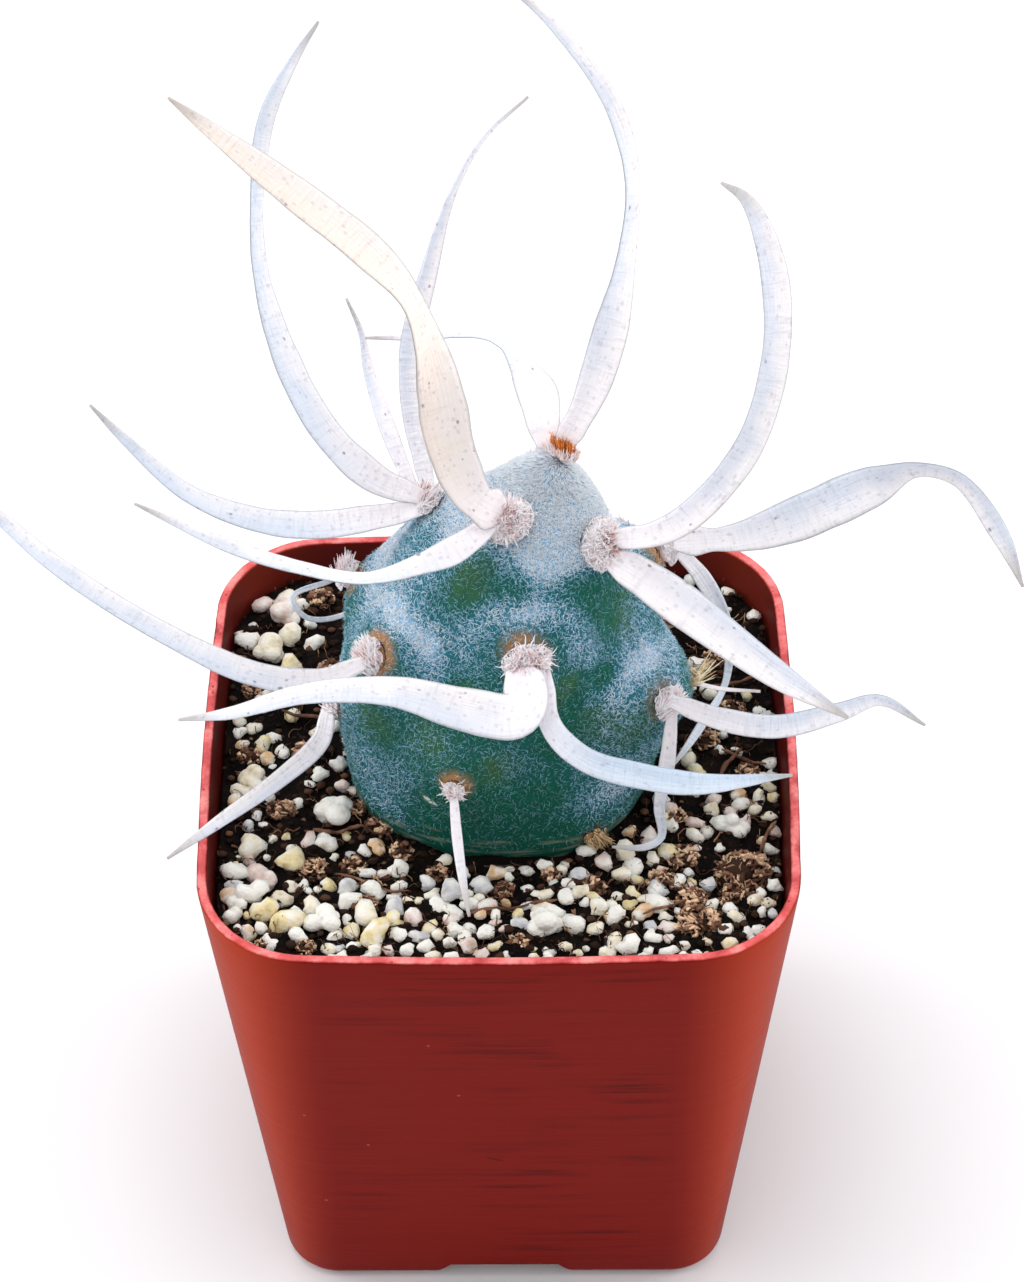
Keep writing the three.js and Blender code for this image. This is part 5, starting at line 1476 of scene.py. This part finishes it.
class CACTUS_OT_spines(bpy.types.Operator):
    """Builds the flat papery spines, channelled and slightly twisted"""

    bl_idname = "cactus.spines"
    bl_label = "Spines"
    bl_options = {"REGISTER"}

    def execute(self, context):
        spines = context.scene.cactus_spines
        materials = {
            "spine": spine_material(spines, "paper_spine", spines.pale_colour, spines.shaded_half_colour),
            "cream_spine": spine_material(spines, "paper_spine_cream", linear("f6ece8"), spines.cream_colour),
        }
        across = np.linspace(-1, 1, BLADE_LINES)
        for number, (name, path) in enumerate(SPINES.items()):
            facing = np.array([0, 0.7 if name in BACK_SPINES else -0.7, 0.7])
            finish = "cream_spine" if name == "front_cream" else "spine"
            rows, along = curve_through(path)
            tangent = unit(np.gradient(rows[:, :3], axis=0))
            broad = unit(facing - tangent * (tangent @ facing)[:, None])
            turn = np.radians(rows[:, 4])[:, None]
            broad = broad * np.cos(turn) + np.cross(tangent, broad) * np.sin(turn)
            side = np.cross(tangent, broad)
            # The root is broad where it leaves the wool, and narrows inside it
            root = smoothstep(along, 4.5, 1.8) * (0.2 + 0.8 * smoothstep(along, 0.2, 2))
            broadening = 0.9 if name in BROAD_ROOTS else 0.45
            width = np.maximum(rows[:, 3], 0.12) + root * broadening * (rows[:, 3].max() - rows[:, 3])
            rows[:, :3] -= tangent * (ROOT_DEPTH * smoothstep(along, 2, 0))[:, None]
            line = np.stack([along, along * 0, along * 0], 1)
            width = width * (1 + 0.05 * noise_at(line, 4, number))
            thick = np.minimum(spines.thickness / MM, width * 0.8)
            thin = np.minimum(spines.edge / MM, width * 0.5)
            # The middle of the blade lies lower than its edges, and the crease wanders off the middle
            crease = 0.25 * noise_at(line, 9, number + 40)
            sag = 0.055 * width[:, None] * np.minimum(1, ((across - crease[:, None]) ** 2) * 1.6)
            lines = np.repeat(along, BLADE_LINES)
            ripple = noise_at(np.stack([lines, np.tile(across, len(along)), lines * 0], 1), 1.6, number + 80)
            ripple = ripple.reshape(len(along), BLADE_LINES)
            middle = sag - sag.mean(1, keepdims=True) + 0.045 * ripple * np.minimum(1, width[:, None] / 2)
            depth = thin[:, None] + (thick - thin)[:, None] * (1 - np.abs(across) ** 3)
            flat = rows[:, None, :3] + side[:, None] * (across * width[:, None] / 2)[..., None]
            upper = flat + broad[:, None] * (middle + depth / 2)[..., None]
            lower = flat + broad[:, None] * (middle - depth / 2)[..., None]
            points, faces = loft(np.concatenate([upper, lower[:, ::-1]], 1))
            # Each point's place on the blade, and those of the middles of its two ends
            share = np.concatenate([np.tile(np.concatenate([across, across[::-1]]), len(along)), [0, 0]])
            length = np.concatenate([np.repeat(along, 2 * BLADE_LINES), along[[0, -1]]])
            breadth = np.concatenate([np.repeat(width, 2 * BLADE_LINES), [0, 0]])
            number_of_side = np.concatenate([np.tile(np.repeat([0, 3.7], BLADE_LINES), len(along)), [0, 0]])
            fields = {
                "across": share, "tip": smoothstep(along[-1] - length, 6, 0.5),
                "blade": np.stack([share * breadth / 2, length, number_of_side + number * BLADE_SHIFT], 1),
                "painted_shade": np.full(len(points), SHADED_SPINES.get(name, 0.0))}
            add_piece(f"blade_{name}", (points, faces), materials[finish], finish, [f"spine_{name}"], fields)
        return {"FINISHED"}


# Stage


class CACTUS_OT_stage(bpy.types.Operator):
    """Adds the pale floor, the soft lights and the camera"""

    bl_idname = "cactus.stage"
    bl_label = "Stage"
    bl_options = {"REGISTER"}

    def execute(self, context):
        stage = context.scene.cactus_stage
        scene = context.scene
        camera = bpy.data.objects.new("camera", bpy.data.cameras.new("camera"))
        scene.collection.objects.link(camera)
        camera.location = CAMERA_PLACE
        camera.rotation_euler = [math.radians(angle) for angle in CAMERA_TURN]
        camera.data.lens = CAMERA_LENS
        camera.data.clip_start, camera.data.clip_end = 0.01, 20
        scene.camera = camera

        around = np.linspace(0, TURN, 64, endpoint=False)
        disc = np.stack([np.cos(around), np.sin(around), around * 0], 1) * FLOOR_RADIUS
        points, faces = loft([disc - (0, 0, FLOOR_THICKNESS), disc])
        floor = bpy.data.objects.new("floor", new_mesh("floor", points, faces))
        scene.collection.objects.link(floor)
        material, tree = start_material("floor_painted")
        add_surface(tree, Base_Color=rgba(stage.floor_colour), Roughness=0.9)
        floor.data.materials.append(material)

        world = bpy.data.worlds.new("sky")
        scene.world = world
        world.use_nodes = True
        background = world.node_tree.nodes["Background"]
        background.inputs["Color"].default_value = SKY_COLOUR
        background.inputs["Strength"].default_value = stage.sky
        for name, place, size, power in (
            ("key_light", (-0.12, 0.12, 0.95), 0.7, stage.key_power),
            ("left_light", (-0.75, 0.1, 0.3), 0.5, stage.side_power),
            ("right_light", (0.75, 0.1, 0.3), 0.5, stage.side_power),
        ):
            light = bpy.data.objects.new(name, bpy.data.lights.new(name, "AREA"))
            light.data.shape, light.data.size, light.data.energy = "DISK", size, power
            light.location = place
            aim = Vector(LIGHT_AIM) - light.location
            light.rotation_euler = aim.to_track_quat("-Z", "Y").to_euler()
            scene.collection.objects.link(light)
        scene.view_settings.view_transform = "Standard"
        return {"FINISHED"}


class CACTUS_PT_panel(bpy.types.Panel):
    """Lists the operators and their settings"""

    bl_label = "Paper spine cactus"
    bl_idname = "CACTUS_PT_panel"
    bl_space_type = "VIEW_3D"
    bl_region_type = "UI"
    bl_category = "Cactus"

    def draw(self, context):
        for operator, group, _ in STEPS:
            box = self.layout.box()
            box.operator(operator.bl_idname)
            settings = getattr(context.scene, group)
            for name in settings.__annotations__:
                box.prop(settings, name)


# Each operator, in the order in which they run, with the name and the kind of its settings
STEPS = (
    (CACTUS_OT_stage, "cactus_stage", CactusStageSettings),
    (CACTUS_OT_pot, "cactus_pot", CactusPotSettings),
    (CACTUS_OT_mix, "cactus_mix", CactusMixSettings),
    (CACTUS_OT_stem, "cactus_stem", CactusStemSettings),
    (CACTUS_OT_wool, "cactus_wool", CactusWoolSettings),
    (CACTUS_OT_spines, "cactus_spines", CactusSpineSettings),
)


def register():
    for operator, group, kind in STEPS:
        bpy.utils.register_class(kind)
        bpy.utils.register_class(operator)
        setattr(bpy.types.Scene, group, PointerProperty(type=kind))
    bpy.utils.register_class(CACTUS_PT_panel)


def unregister():
    bpy.utils.unregister_class(CACTUS_PT_panel)
    for operator, group, kind in reversed(STEPS):
        delattr(bpy.types.Scene, group)
        bpy.utils.unregister_class(operator)
        bpy.utils.unregister_class(kind)


def main():
    register()
    for operator, _, _ in STEPS:
        group, name = operator.bl_idname.split(".")
        getattr(getattr(bpy.ops, group), name)()


if __name__ == "__main__":
    main()
